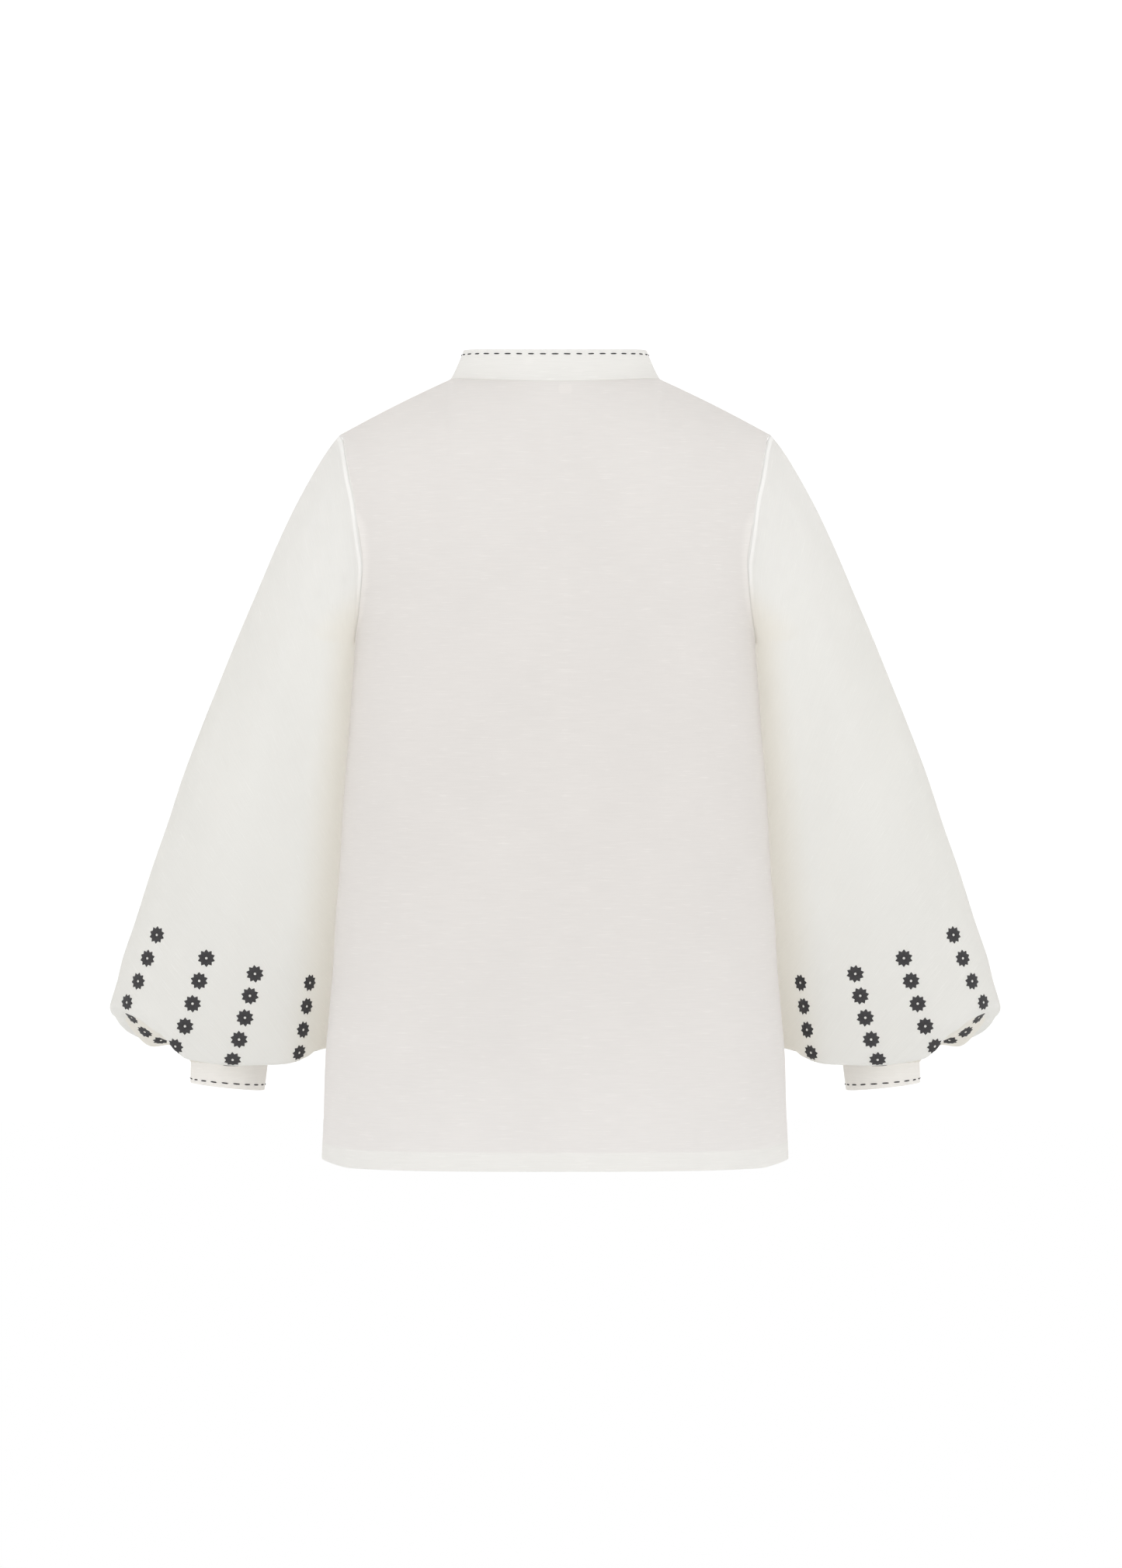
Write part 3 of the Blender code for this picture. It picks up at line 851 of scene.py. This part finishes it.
def crease_heights(grid):
    """How far the short creases lift each point, by its side of the sleeve."""
    lift = np.zeros(grid.shape[:2])
    place = grid[..., [0, 2]]
    from_middle = grid[..., 1] - grid[..., 1].mean(axis=1, keepdims=True)
    for side, creases in CREASES.items():
        on_side = ease_all(side * from_middle / 20)
        for crease in (Crease(*row) for row in creases):
            start = np.array((crease.x, crease.z))
            run = np.array((crease.to_x, crease.to_z)) - start
            t = np.clip((place - start) @ run / (run @ run), 0, 1)
            away = np.linalg.norm(place - start - t[..., None] * run, axis=2)
            shape = 0.35 + 0.65 * np.sin(np.pi * np.clip(t, 0.05, 0.95))
            lift += on_side * crease.high * shape * np.exp(-(away / crease.wide) ** 2)
    return lift


def sleeve_grid():
    """Outside of the left sleeve, from the armhole to the cuff."""
    angles = [180 + 360 * i / AROUND for i in range(AROUND)]
    places = [k + i / steps for k, steps in enumerate(PLACE_STEPS) for i in range(steps)]
    places.append(len(RINGS) - 1)
    grid = np.array([[tuple(p) for p in ring_points(place, angles)] for place in places])
    out = normals(grid, True)
    turn = np.radians(angles)
    away = ease_all((np.cos(turn) + 0.95) / 0.5)
    from_edge = ease_all(np.array(places)[:, None] / 2)
    lift = swing_heights(places, angles) * away + crease_heights(grid) * from_edge
    grid += out * lift[..., None]

    lip = grid[-1]
    cuff = np.array([tuple(p) for p in cuff_ring(0, CUFF_TOP_RADIUS + GAP, angles)])
    under = []
    turned = np.degrees((turn + np.pi) % (2 * np.pi) - np.pi)
    for k in range(1, UNDER_ROWS + 1):
        s = k / UNDER_ROWS
        sag = SAG_DEEP * np.exp(-((turned - SAG_ANGLE) / SAG_WIDE) ** 2
                                - ((s - SAG_PLACE) / SAG_LONG) ** 2)
        arch = ARCH_HIGH * np.exp(-((turned - ARCH_ANGLE) / ARCH_WIDE) ** 2)
        arch *= math.sin(math.pi * s)
        fall = sag * min(s / 0.1, 1) - arch
        wave = PLEAT_HIGH * s**0.7 * np.cos(PLEATS * turn + 1.3 * np.sin(3 * turn))
        lift = UNDER_LIFT * s**4 * (1 - s) * np.maximum(np.cos(turn), 0) ** 1.5
        row = mix(lip, cuff, s)
        row[:, 2] += (wave + lift - fall) * (1 - 0.8 * (s == 1))
        under.append(row)
    return np.concatenate([grid, np.array(under)])


SLEEVE = sleeve_grid()


def from_body(grid):
    """How far each point of the sleeve stands off the body, for the painted warm shade there.

    The armhole's part counts as far, and the underside as near, so that the underside takes that
    painted shade too.
    """
    away = np.array([[x - body_out(max(z, HEM), y) for x, y, z in row] for row in grid])
    away += WARM_SHADE_FROM * ease_all((grid[..., 2] - WARM_SHADE_TOP) / WARM_SHADE_FADE)
    away[-UNDER_ROWS:] = UNDER_AWAY
    return away


SLEEVE_FROM_BODY = from_body(SLEEVE)


def sleeve(name, side):
    grid = SLEEVE * (side, 1, 1)
    around = row_lengths(looped(grid), 1)
    around -= around[:, -1:] / 2
    along = row_lengths(looped(grid), 0)
    uv = np.stack([around, -along], axis=2)
    piece = sheet_mesh(name, grid, uv, True, side < 0, from_seam=along[:, :-1] / MM,
                       from_body=SLEEVE_FROM_BODY)
    return give_wall(piece, CLOTH, SLEEVE_SHIRTING)


sleeves = {word: sleeve(f"sleeve_{word}_cloth", side) for word, side in SIDES.items()}

# %% [markdown]
# ## Collar, cuffs and tag
#
# The stand collar and the cuffs are strips folded double, so they are thicker and whiter
# than the rest. The cuffs' colour is also lifted, paler and warmer, as painted light against
# the shade under the balloon. The collar is open at the middle of the front. The small tag
# hangs inside the middle of the back. It keeps its packed wall, and only takes a finish of
# woven tape.

# %% Collar, cuffs and tag
COLLAR_COLUMNS = 160
COLLAR_ROWS = 12
CUFF_COLUMNS = 96
CUFF_ROWS = 8


def collar_point(turn, t):
    """Point on the collar: turn goes round from the front, t from its seam to its top."""
    s, c = math.sin(math.radians(turn)), -math.cos(math.radians(turn))
    side = 1 if c > 0 else -1
    low = top_line(side, NECK_OUT * s) + GAP
    end, power = (COLLAR_BACK_TOP, 2) if c > 0 else (COLLAR_FRONT_TOP, 3)
    high = mix(COLLAR_SIDE_TOP, end, abs(c) ** power)
    wide = mix(NECK_OUT, COLLAR_TOP_OUT, t**0.85)
    deep = mix(NECK_DEEP, COLLAR_TOP_DEEP, t**0.85)
    return (wide * s, deep * c, mix(low, high, t))


def collar():
    start = math.degrees(math.asin(SLIT_WIDE / 2 / NECK_OUT))
    turns = [mix(start, 360 - start, i / COLLAR_COLUMNS) for i in range(COLLAR_COLUMNS + 1)]
    grid = np.array([[collar_point(turn, 1 - j / COLLAR_ROWS) for turn in turns]
                     for j in range(COLLAR_ROWS + 1)])
    uv = np.stack([row_lengths(grid, 1), -row_lengths(grid, 0)], axis=2)
    piece = sheet_mesh("collar_cloth", grid, uv, False, False)
    return give_wall(piece, CLOTH_FOLDED, FOLDED_SHIRTING)


def cuff(name, side):
    angles = [180 + 360 * i / CUFF_COLUMNS for i in range(CUFF_COLUMNS)]
    rows = [mix(-CUFF_TUCK / CUFF_HIGH, 1, j / CUFF_ROWS) for j in range(CUFF_ROWS + 1)]
    radii = [mix(CUFF_TOP_RADIUS, CUFF_END_RADIUS, max(share, 0)) for share in rows]
    grid = np.array([[tuple(p) for p in cuff_ring(share, radius, angles)]
                     for share, radius in zip(rows, radii)]) * (side, 1, 1)
    uv = np.stack([row_lengths(looped(grid), 1), -row_lengths(looped(grid), 0)], axis=2)
    piece = sheet_mesh(name, grid, uv, True, side < 0)
    return give_wall(piece, CLOTH_FOLDED, CUFF_SHIRTING)


def tape_material():
    """Plain woven cotton tape: close cross threads under a soft unevenness."""
    material, tree, surface = new_material("white woven tape", Roughness=0.8)
    place = add(tree, "ShaderNodeTexCoord").outputs["Object"]
    split = add(tree, "ShaderNodeSeparateXYZ", Vector=place)
    uneven = add(tree, "ShaderNodeTexNoise", Vector=place, Scale=700.0).outputs[0]
    level = combine(tree, "MULTIPLY_ADD", uneven, 0.08, 0.90)
    rib = ripple(tree, split.outputs[2], 0.0005)
    cover(tree, surface, scaled(tree, (1.0, 0.995, 0.985), level), rib, 0.4, 0.00008)
    return material


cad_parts["neck_tag"].material_slots[0].material = tape_material()
collar_piece = collar()
cuffs = {word: cuff(f"cuff_{word}_cloth", side) for word, side in SIDES.items()}

# %% [markdown]
# ## Embroidered flowers
#
# Ten rows of small flowers run down each sleeve and on round its lower edge towards the
# cuff, mostly seven to a row. A flower is satin stitch in charcoal thread round an eyelet, with
# ten pointed petals. One flower is modelled, and Geometry Nodes set it along each row: they
# turn the row into points an even step apart, set a flower on each with its back to the
# cloth, and press every vertex of it onto the cloth, so that it bends with the sleeve.

# %% One flower
PETALS = 10
EYELET = 1.1           # radius of the hole
PETAL_TIP = 8.0
PETAL_NOTCH = 5.9
THREAD_UP = 0.5

Band = namedtuple("Band", "share up")
FLOWER_BANDS = (Band(0.0, 0.0), Band(0.1, 0.9), Band(0.35, 1.0), Band(0.85, 0.8), Band(1.0, 0.06))


def thread_material(name, colour, roughness, stripes):
    """Satin thread whose stripes run out from the middle of a flower or along a stitch."""
    material, tree, surface = new_material(name, Roughness=roughness, Specular_IOR_Level=0.4)
    place = add(tree, "ShaderNodeTexCoord").outputs
    split = add(tree, "ShaderNodeSeparateXYZ", Vector=place["UV"])
    wave = ripple(tree, split.outputs[0], 1 / stripes)
    uneven = add(tree, "ShaderNodeTexNoise", Vector=place["Object"], Scale=900.0, Detail=2.0)
    level = combine(tree, "MULTIPLY_ADD", uneven.outputs[0], 0.5, 0.75)
    level = combine(tree, "MULTIPLY_ADD", wave, 0.12, level)
    cover(tree, surface, scaled(tree, colour, level), wave, 0.6, 0.0001)
    return material


CHARCOAL_THREAD = thread_material("charcoal satin thread", (0.036, 0.034, 0.036), 0.5, 90)
RUNNING_THREAD = thread_material("charcoal running thread", (0.034, 0.033, 0.035), 0.6, 6)


def petal_edge(turn):
    """Radius of the flower's edge: it rises from a notch to a point and falls again."""
    share = abs((turn * PETALS / 360) % 1 - 0.5) * 2
    return mix(PETAL_TIP, PETAL_NOTCH, share**0.8)


def motif_object(name, rings, closed):
    """A small motif, flat on the ground, from rings of points.

    A point has its place along X and Y and how high it stands off the cloth.
    """
    around = len(rings[0])
    faces, corners = [], []
    for j in range(len(rings) - 1):
        for i in range(around if closed else around - 1):
            after = (i + 1) % around
            faces.append((j * around + i, (j + 1) * around + i,
                          (j + 1) * around + after, j * around + after))
            corners += [(i / around, j), (i / around, j + 1), ((i + 1) / around, j + 1),
                        ((i + 1) / around, j)]
    points = [point for ring in rings for point in ring]
    mesh = bpy.data.meshes.new(name)
    mesh.from_pydata([(x * MM, y * MM, 0) for x, y, up in points], [], faces)
    heights = mesh.attributes.new("up", "FLOAT", "POINT")
    heights.data.foreach_set("value", [up * MM for x, y, up in points])
    mesh.uv_layers.new(name="thread").data.foreach_set("uv", np.array(corners, float).ravel())
    return put(name, mesh)


def flower_ring(band):
    """One ring of the flower, between its eyelet and the edge of its petals."""
    ring = []
    for i in range(PETALS * 4):
        turn = 90 * i / PETALS
        radius = mix(EYELET, petal_edge(turn), band.share)
        a = math.radians(turn)
        ring.append((radius * math.cos(a), radius * math.sin(a), THREAD_UP * band.up))
    return ring


ONE_FLOWER = motif_object("one flower", [flower_ring(band) for band in FLOWER_BANDS], True)
print("one flower:", len(ONE_FLOWER.data.polygons), "faces")

# %% [markdown]
# The tree below sets any small stitched motif along paths that lie on a cloth. The running
# stitches of the collar and the cuffs use it too.

# %% A tree that sets motifs along paths on a cloth
def random_between(tree, low, high, seed):
    """A random number for each point, between two sockets or numbers."""
    node = add(tree, "FunctionNodeRandomValue", {"data_type": "FLOAT"}, Seed=seed)
    limits = [s for s in node.inputs if s.name in ("Min", "Max") and s.type == "VALUE"]
    tree.links.new(low, limits[0])
    tree.links.new(high, limits[1])
    return next(s for s in node.outputs if s.type == "VALUE")


def motif_tree():
    tree = bpy.data.node_groups.new("motifs along paths", "GeometryNodeTree")
    inputs = {"Paths": "Geometry", "Cloth": "Object", "Motif": "Object", "Count": "Int",
              "Turn Spread": "Float", "Size Spread": "Float", "Seed": "Int",
              "Material": "Material"}
    for name, kind in inputs.items():
        tree.interface.new_socket(name=name, in_out="INPUT", socket_type="NodeSocket" + kind)
    tree.interface.new_socket(name="Motifs", in_out="OUTPUT", socket_type="NodeSocketGeometry")
    given = add(tree, "NodeGroupInput").outputs

    cloth = add(tree, "GeometryNodeObjectInfo", i0=given["Cloth"]).outputs["Geometry"]
    motif = add(tree, "GeometryNodeObjectInfo", i0=given["Motif"]).outputs["Geometry"]
    curves = add(tree, "GeometryNodeMeshToCurve", Mesh=given["Paths"]).outputs["Curve"]
    points = add(tree, "GeometryNodeCurveToPoints", {"mode": "COUNT"}, Curve=curves,
                 Count=given["Count"])

    facing = add(tree, "GeometryNodeInputNormal").outputs["Normal"]
    under = add(tree, "GeometryNodeSampleNearestSurface", {"data_type": "FLOAT_VECTOR"},
                Mesh=cloth, Value=facing)
    upright = add(tree, "FunctionNodeAlignRotationToVector", {"axis": "Z"},
                  Vector=under.outputs["Value"])
    along = add(tree, "FunctionNodeAlignRotationToVector", {"axis": "X", "pivot_axis": "Z"},
                Rotation=upright.outputs[0], Vector=points.outputs["Tangent"])
    spread = given["Turn Spread"]
    spin = random_between(tree, combine(tree, "MULTIPLY", spread, -1.0), spread, given["Seed"])
    axis_turn = add(tree, "FunctionNodeAxisAngleToRotation", Axis=(0, 0, 1), Angle=spin)
    turned = add(tree, "FunctionNodeRotateRotation", {"rotation_space": "LOCAL"},
                 Rotation=along.outputs[0], i1=axis_turn.outputs[0])
    spread = given["Size Spread"]
    size = random_between(tree, combine(tree, "SUBTRACT", 1.0, spread),
                          combine(tree, "ADD", 1.0, spread),
                          combine(tree, "ADD", given["Seed"], 7.0))
    stretch = add(tree, "ShaderNodeCombineXYZ", X=size, Y=1.0, Z=1.0)

    placed = add(tree, "GeometryNodeInstanceOnPoints", Points=points.outputs["Points"],
                 Instance=motif, Rotation=turned.outputs[0], Scale=stretch.outputs[0])
    real = add(tree, "GeometryNodeRealizeInstances", Geometry=placed.outputs[0]).outputs[0]
    nearest = add(tree, "GeometryNodeProximity", {"target_element": "FACES"}, i0=cloth)
    lifted = add(tree, "GeometryNodeSampleNearestSurface", {"data_type": "FLOAT_VECTOR"},
                 Mesh=cloth, Value=facing)
    up = add(tree, "GeometryNodeInputNamedAttribute", {"data_type": "FLOAT"}, Name="up")
    push = scaled(tree, lifted.outputs["Value"], up.outputs["Attribute"])
    pressed = add(tree, "ShaderNodeVectorMath", {"operation": "ADD"},
                  i0=nearest.outputs["Position"], i1=push)
    moved = add(tree, "GeometryNodeSetPosition", Geometry=real, Position=pressed.outputs[0])
    smooth = add(tree, "GeometryNodeSetShadeSmooth", Geometry=moved.outputs[0])
    dressed = add(tree, "GeometryNodeSetMaterial", Geometry=smooth.outputs[0],
                  Material=given["Material"])
    add(tree, "NodeGroupOutput", i0=dressed.outputs[0])
    return tree


MOTIF_TREE = motif_tree()


def sew(name, paths, cloth, motif, material, **sizes):
    """Runs the tree on some paths, each a list of points in millimetres, and keeps the mesh."""
    mesh = bpy.data.meshes.new(name + " paths")
    points = [Vector(p) * MM for path in paths for p in path]
    edges, start = [], 0
    for path in paths:
        edges += [(start + k, start + k + 1) for k in range(len(path) - 1)]
        start += len(path)
    mesh.from_pydata(points, edges, [])
    holder = put(name + " paths", mesh)
    modifier = holder.modifiers.new("motifs", "NODES")
    modifier.node_group = MOTIF_TREE
    values = {"Cloth": cloth, "Motif": motif, "Material": material, **sizes}
    for item in MOTIF_TREE.interface.items_tree:
        if item.in_out == "INPUT" and item.name in values:
            modifier[item.identifier] = values[item.name]
    result = plain_mesh(holder, name)
    print(f"{name}: {len(result.data.polygons)} faces")
    return result


# %% [markdown]
# A row starts at a place on the sleeve and drifts a few degrees towards the outside as it
# nears the cuff, because the gathers draw it along. Row by row the table gives the place
# where it starts, its angle there and at the lower edge, how far apart its flowers are, how
# many there are, and how much of the way is skipped before the first. The first row takes
# up two lines of the table, because it passes under the edge and out of sight in between.

# %% Flowers on the sleeves
UNDER_SKIP = 17.3      # way from the last ring but one to the first flower on the underside
Row = namedtuple("Row", "start from_angle to_angle pitch count skip", defaults=(7, 0))
PATH_STEPS = 60        # straight stretches of a row's path down to the lower edge
UNDER_STEPS = 20       # and on the underside
ROWS = tuple(Row(*row) for row in (
    (13.25, 46, 27, 22.9, 4),
    (18.0, 22, 22, 19.2, 3, UNDER_SKIP),
    (13.55, 81, 66, 21.4),
    (13.75, 107, 96, 20.2),
    (13.85, 145, 138, 21.3),
    (13.80, -172, -172, 20.5),
    (13.85, -146, -138, 20.8),
    (13.75, -110, -100, 20.2),
    (13.55, -82, -74, 21.0),
    (13.30, -50, -42, 21.5),
    (12.60, -14, -22, 21.8, 6),
))


def under_point(angle, s):
    """Point on the sleeve's underside, s of the way from its edge to the cuff."""
    column = (angle - 180) % 360 / 360 * AROUND
    i, t = int(column), column % 1
    row = len(SLEEVE) - UNDER_ROWS - 1 + s * UNDER_ROWS
    j, u = min(int(row), len(SLEEVE) - 2), row - min(int(row), len(SLEEVE) - 2)
    above = mix(SLEEVE[j, i % AROUND], SLEEVE[j, (i + 1) % AROUND], t)
    below = mix(SLEEVE[j + 1, i % AROUND], SLEEVE[j + 1, (i + 1) % AROUND], t)
    return mix(above, below, u)


def row_path(row, side):
    """Points along a row of flowers, from the middle of its first to that of its last."""
    rough = []
    for k in range(PATH_STEPS + 1):
        t = k / PATH_STEPS
        angle = mix(row.from_angle, row.to_angle, t) % 360
        ring = ring_points(mix(row.start, len(RINGS) - 1, t), RING_ANGLES)
        slot, share = int(angle / 2), angle / 2 % 1
        rough.append(np.array(ring[slot].lerp(ring[(slot + 1) % len(ring)], share)))
    rough += [under_point(row.to_angle, s / UNDER_STEPS) for s in range(1, UNDER_STEPS)]
    rough = np.array(rough)
    run = np.concatenate([[0], np.cumsum(np.linalg.norm(np.diff(rough, axis=0), axis=1))])
    want = row.skip + np.linspace(0, row.pitch * (row.count - 1), 64)
    path = np.stack([np.interp(want, run, rough[:, axis]) for axis in range(3)], axis=1)
    return path * (side, 1, 1)


RING_ANGLES = [2 * k for k in range(180)]
flowers = {}
for word, side in SIDES.items():
    for count in sorted({row.count for row in ROWS}):
        paths = [row_path(row, side) for row in ROWS if row.count == count]
        flowers[word, count] = sew(f"flowers_{word}_by_{count}", paths,
                                   OUTSIDES[f"sleeve_{word}_cloth"], ONE_FLOWER,
                                   CHARCOAL_THREAD, Count=count, Seed=3)
bpy.data.objects.remove(ONE_FLOWER, do_unlink=True)

# %% [markdown]
# ## Running stitches
#
# One line of running stitch in the same thread goes round the collar, 4 mm below its top
# edge, and one round each cuff near its end. Each stitch is a short rounded bar that dips
# into the cloth at both ends. The hand's small unevenness comes from the tree's spreads.

# %% Running stitches
STITCH_LONG = 6.2
STITCH_WIDE = 1.3
STITCH_UP = 0.7
COLLAR_STITCHES = 45
CUFF_STITCHES = 21
BELOW_TOP = 4.2        # from the collar's top edge
CUFF_SHARE = 0.80      # how far down the cuff, as a share of its height
STITCH_RINGS = 7
STITCH_AROUND = 6
STITCH_DIP = 0.08      # how far the edges of a stitch sink into the cloth
LINE_STEPS = 240


def stitch_ring(j):
    """One ring of a stitch along X, a bar that is widest and highest in its middle."""
    t = -1 + 2 * j / (STITCH_RINGS - 1)
    fat = (1 - t**4) ** 0.5 * 0.9 + 0.1
    turns = [math.pi * i / (STITCH_AROUND - 1) for i in range(STITCH_AROUND)]
    return [(STITCH_LONG / 2 * t, STITCH_WIDE / 2 * fat * math.cos(a),
             STITCH_UP * fat * math.sin(a) - STITCH_DIP) for a in turns]


ONE_STITCH = motif_object("one stitch", [stitch_ring(j) for j in range(STITCH_RINGS)], False)


def collar_line():
    """Path round the collar, BELOW_TOP under its top edge."""
    points = []
    for k in range(LINE_STEPS + 1):
        turn = mix(4, 356, k / LINE_STEPS)
        low, high = collar_point(turn, 0)[2], collar_point(turn, 1)[2]
        points.append(collar_point(turn, 1 - BELOW_TOP / (high - low)))
    return points


def cuff_line(side):
    """Path round the cuff, at CUFF_SHARE of its height."""
    radius = mix(CUFF_TOP_RADIUS, CUFF_END_RADIUS, CUFF_SHARE)
    ring = cuff_ring(CUFF_SHARE, radius, range(0, 360, 3))
    return [(side * p.x, p.y, p.z) for p in ring]


collar_stitches = sew("collar_stitches", [collar_line()], OUTSIDES["collar_cloth"],
                      ONE_STITCH, RUNNING_THREAD,
                      **{"Count": COLLAR_STITCHES, "Turn Spread": 0.05, "Size Spread": 0.1,
                         "Seed": 5})
cuff_stitches = {
    word: sew(f"cuff_stitches_{word}", [cuff_line(side)], OUTSIDES[f"cuff_{word}_cloth"],
              ONE_STITCH, RUNNING_THREAD,
              **{"Count": CUFF_STITCHES, "Turn Spread": 0.05, "Size Spread": 0.12, "Seed": 9})
    for word, side in SIDES.items()
}
for helper in (ONE_STITCH, *OUTSIDES.values()):
    bpy.data.objects.remove(helper, do_unlink=True)

# %% [markdown]
# ## Floor and light
#
# The blouse hangs at the height at which it is worn, above a round pale floor whose rim
# fades to the white of the studio. The light is soft and comes from all around, a little
# less from above, as in a white studio.

# %% Floor and light
FLOOR = -1.45
FLOOR_RADIUS = 12.0
FADE_FROM, FADE_TO = 1.2, 2.6    # where the floor turns into plain white

bpy.ops.mesh.primitive_circle_add(vertices=96, radius=FLOOR_RADIUS, fill_type="NGON",
                                  location=(0, 0, FLOOR))
floor = bpy.context.object
floor.name = "floor"
floor_material, floor_tree, floor_surface = new_material(
    "pale floor", Base_Color=(0.86, 0.86, 0.86, 1), Roughness=0.9)
away = add(floor_tree, "ShaderNodeVectorMath", {"operation": "LENGTH"},
           i0=add(floor_tree, "ShaderNodeTexCoord").outputs["Object"])
rim = between(floor_tree, away.outputs["Value"], FADE_FROM, FADE_TO)
glow = add(floor_tree, "ShaderNodeEmission", Color=(1, 1, 1, 1), Strength=1.0)
blend = add(floor_tree, "ShaderNodeMixShader", i0=rim, i1=floor_surface.outputs[0],
            i2=glow.outputs[0])
floor_tree.links.new(blend.outputs[0], floor_tree.nodes["Material Output"].inputs["Surface"])
floor.data.materials.append(floor_material)

world = bpy.data.worlds.new("studio")
bpy.context.scene.world = world
world.use_nodes = True
sky = world.node_tree
height = add(sky, "ShaderNodeSeparateXYZ", Vector=add(sky, "ShaderNodeTexCoord").outputs["Generated"])
shade = between(sky, height.outputs[2], 0.15, 1.0, 1.0, 0.6)
tint = add(sky, "ShaderNodeCombineColor", Red=shade, Green=shade, Blue=shade)
sky.links.new(tint.outputs[0], sky.nodes["Background"].inputs["Color"])
sky.nodes["Background"].inputs["Strength"].default_value = 1.19

SOFTBOX_SIZE = 2.5
SOFTBOX_WATTS = 31.0
for word, side in SIDES.items():
    light = bpy.data.lights.new(f"softbox {word}", "AREA")
    light.size = SOFTBOX_SIZE
    light.energy = SOFTBOX_WATTS
    lamp = put(light.name, light)
    lamp.location = (3.0 * side, 3.2, 0.3)
    aim = lamp.location - Vector((0, 0, CAMERA_HIGH))
    lamp.rotation_euler = aim.to_track_quat("Z", "Y").to_euler()
print("studio is ready")

# %% [markdown]
# ## Setting the pieces on the frame
#
# The last cell hides each node of the frame that a piece of cloth replaces, and sets every
# piece, with the stitches and the flowers, on what it rides on, the frame's root. Its table
# also lists what each piece of cloth stands for and the size that it was cut to, which is its
# widest row by its longest column.

# %% What each piece stands for, and the sizes of the cut
CLOTHS = (
    (back, "back", "single_cloth", (0.61, 0.78), "hung"),
    (front, "front", "single_cloth", (0.61, 0.78), "hung"),
    (collar_piece, "collar", "doubled_cloth", (0.50, 0.034), "hung"),
    (sleeves["left"], "sleeve_left", "single_cloth", (0.73, 0.67), "gathered"),
    (sleeves["right"], "sleeve_right", "single_cloth", (0.73, 0.67), "gathered"),
    (cuffs["left"], "cuff_left", "doubled_cloth", (0.218, 0.025), "gathered"),
    (cuffs["right"], "cuff_right", "doubled_cloth", (0.218, 0.025), "gathered"),
)
for piece, node, slot, cut, held in CLOTHS:
    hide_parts(node)
    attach(piece, "root")
for piece in (collar_stitches, *cuff_stitches.values(), *flowers.values()):
    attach(piece, "root")
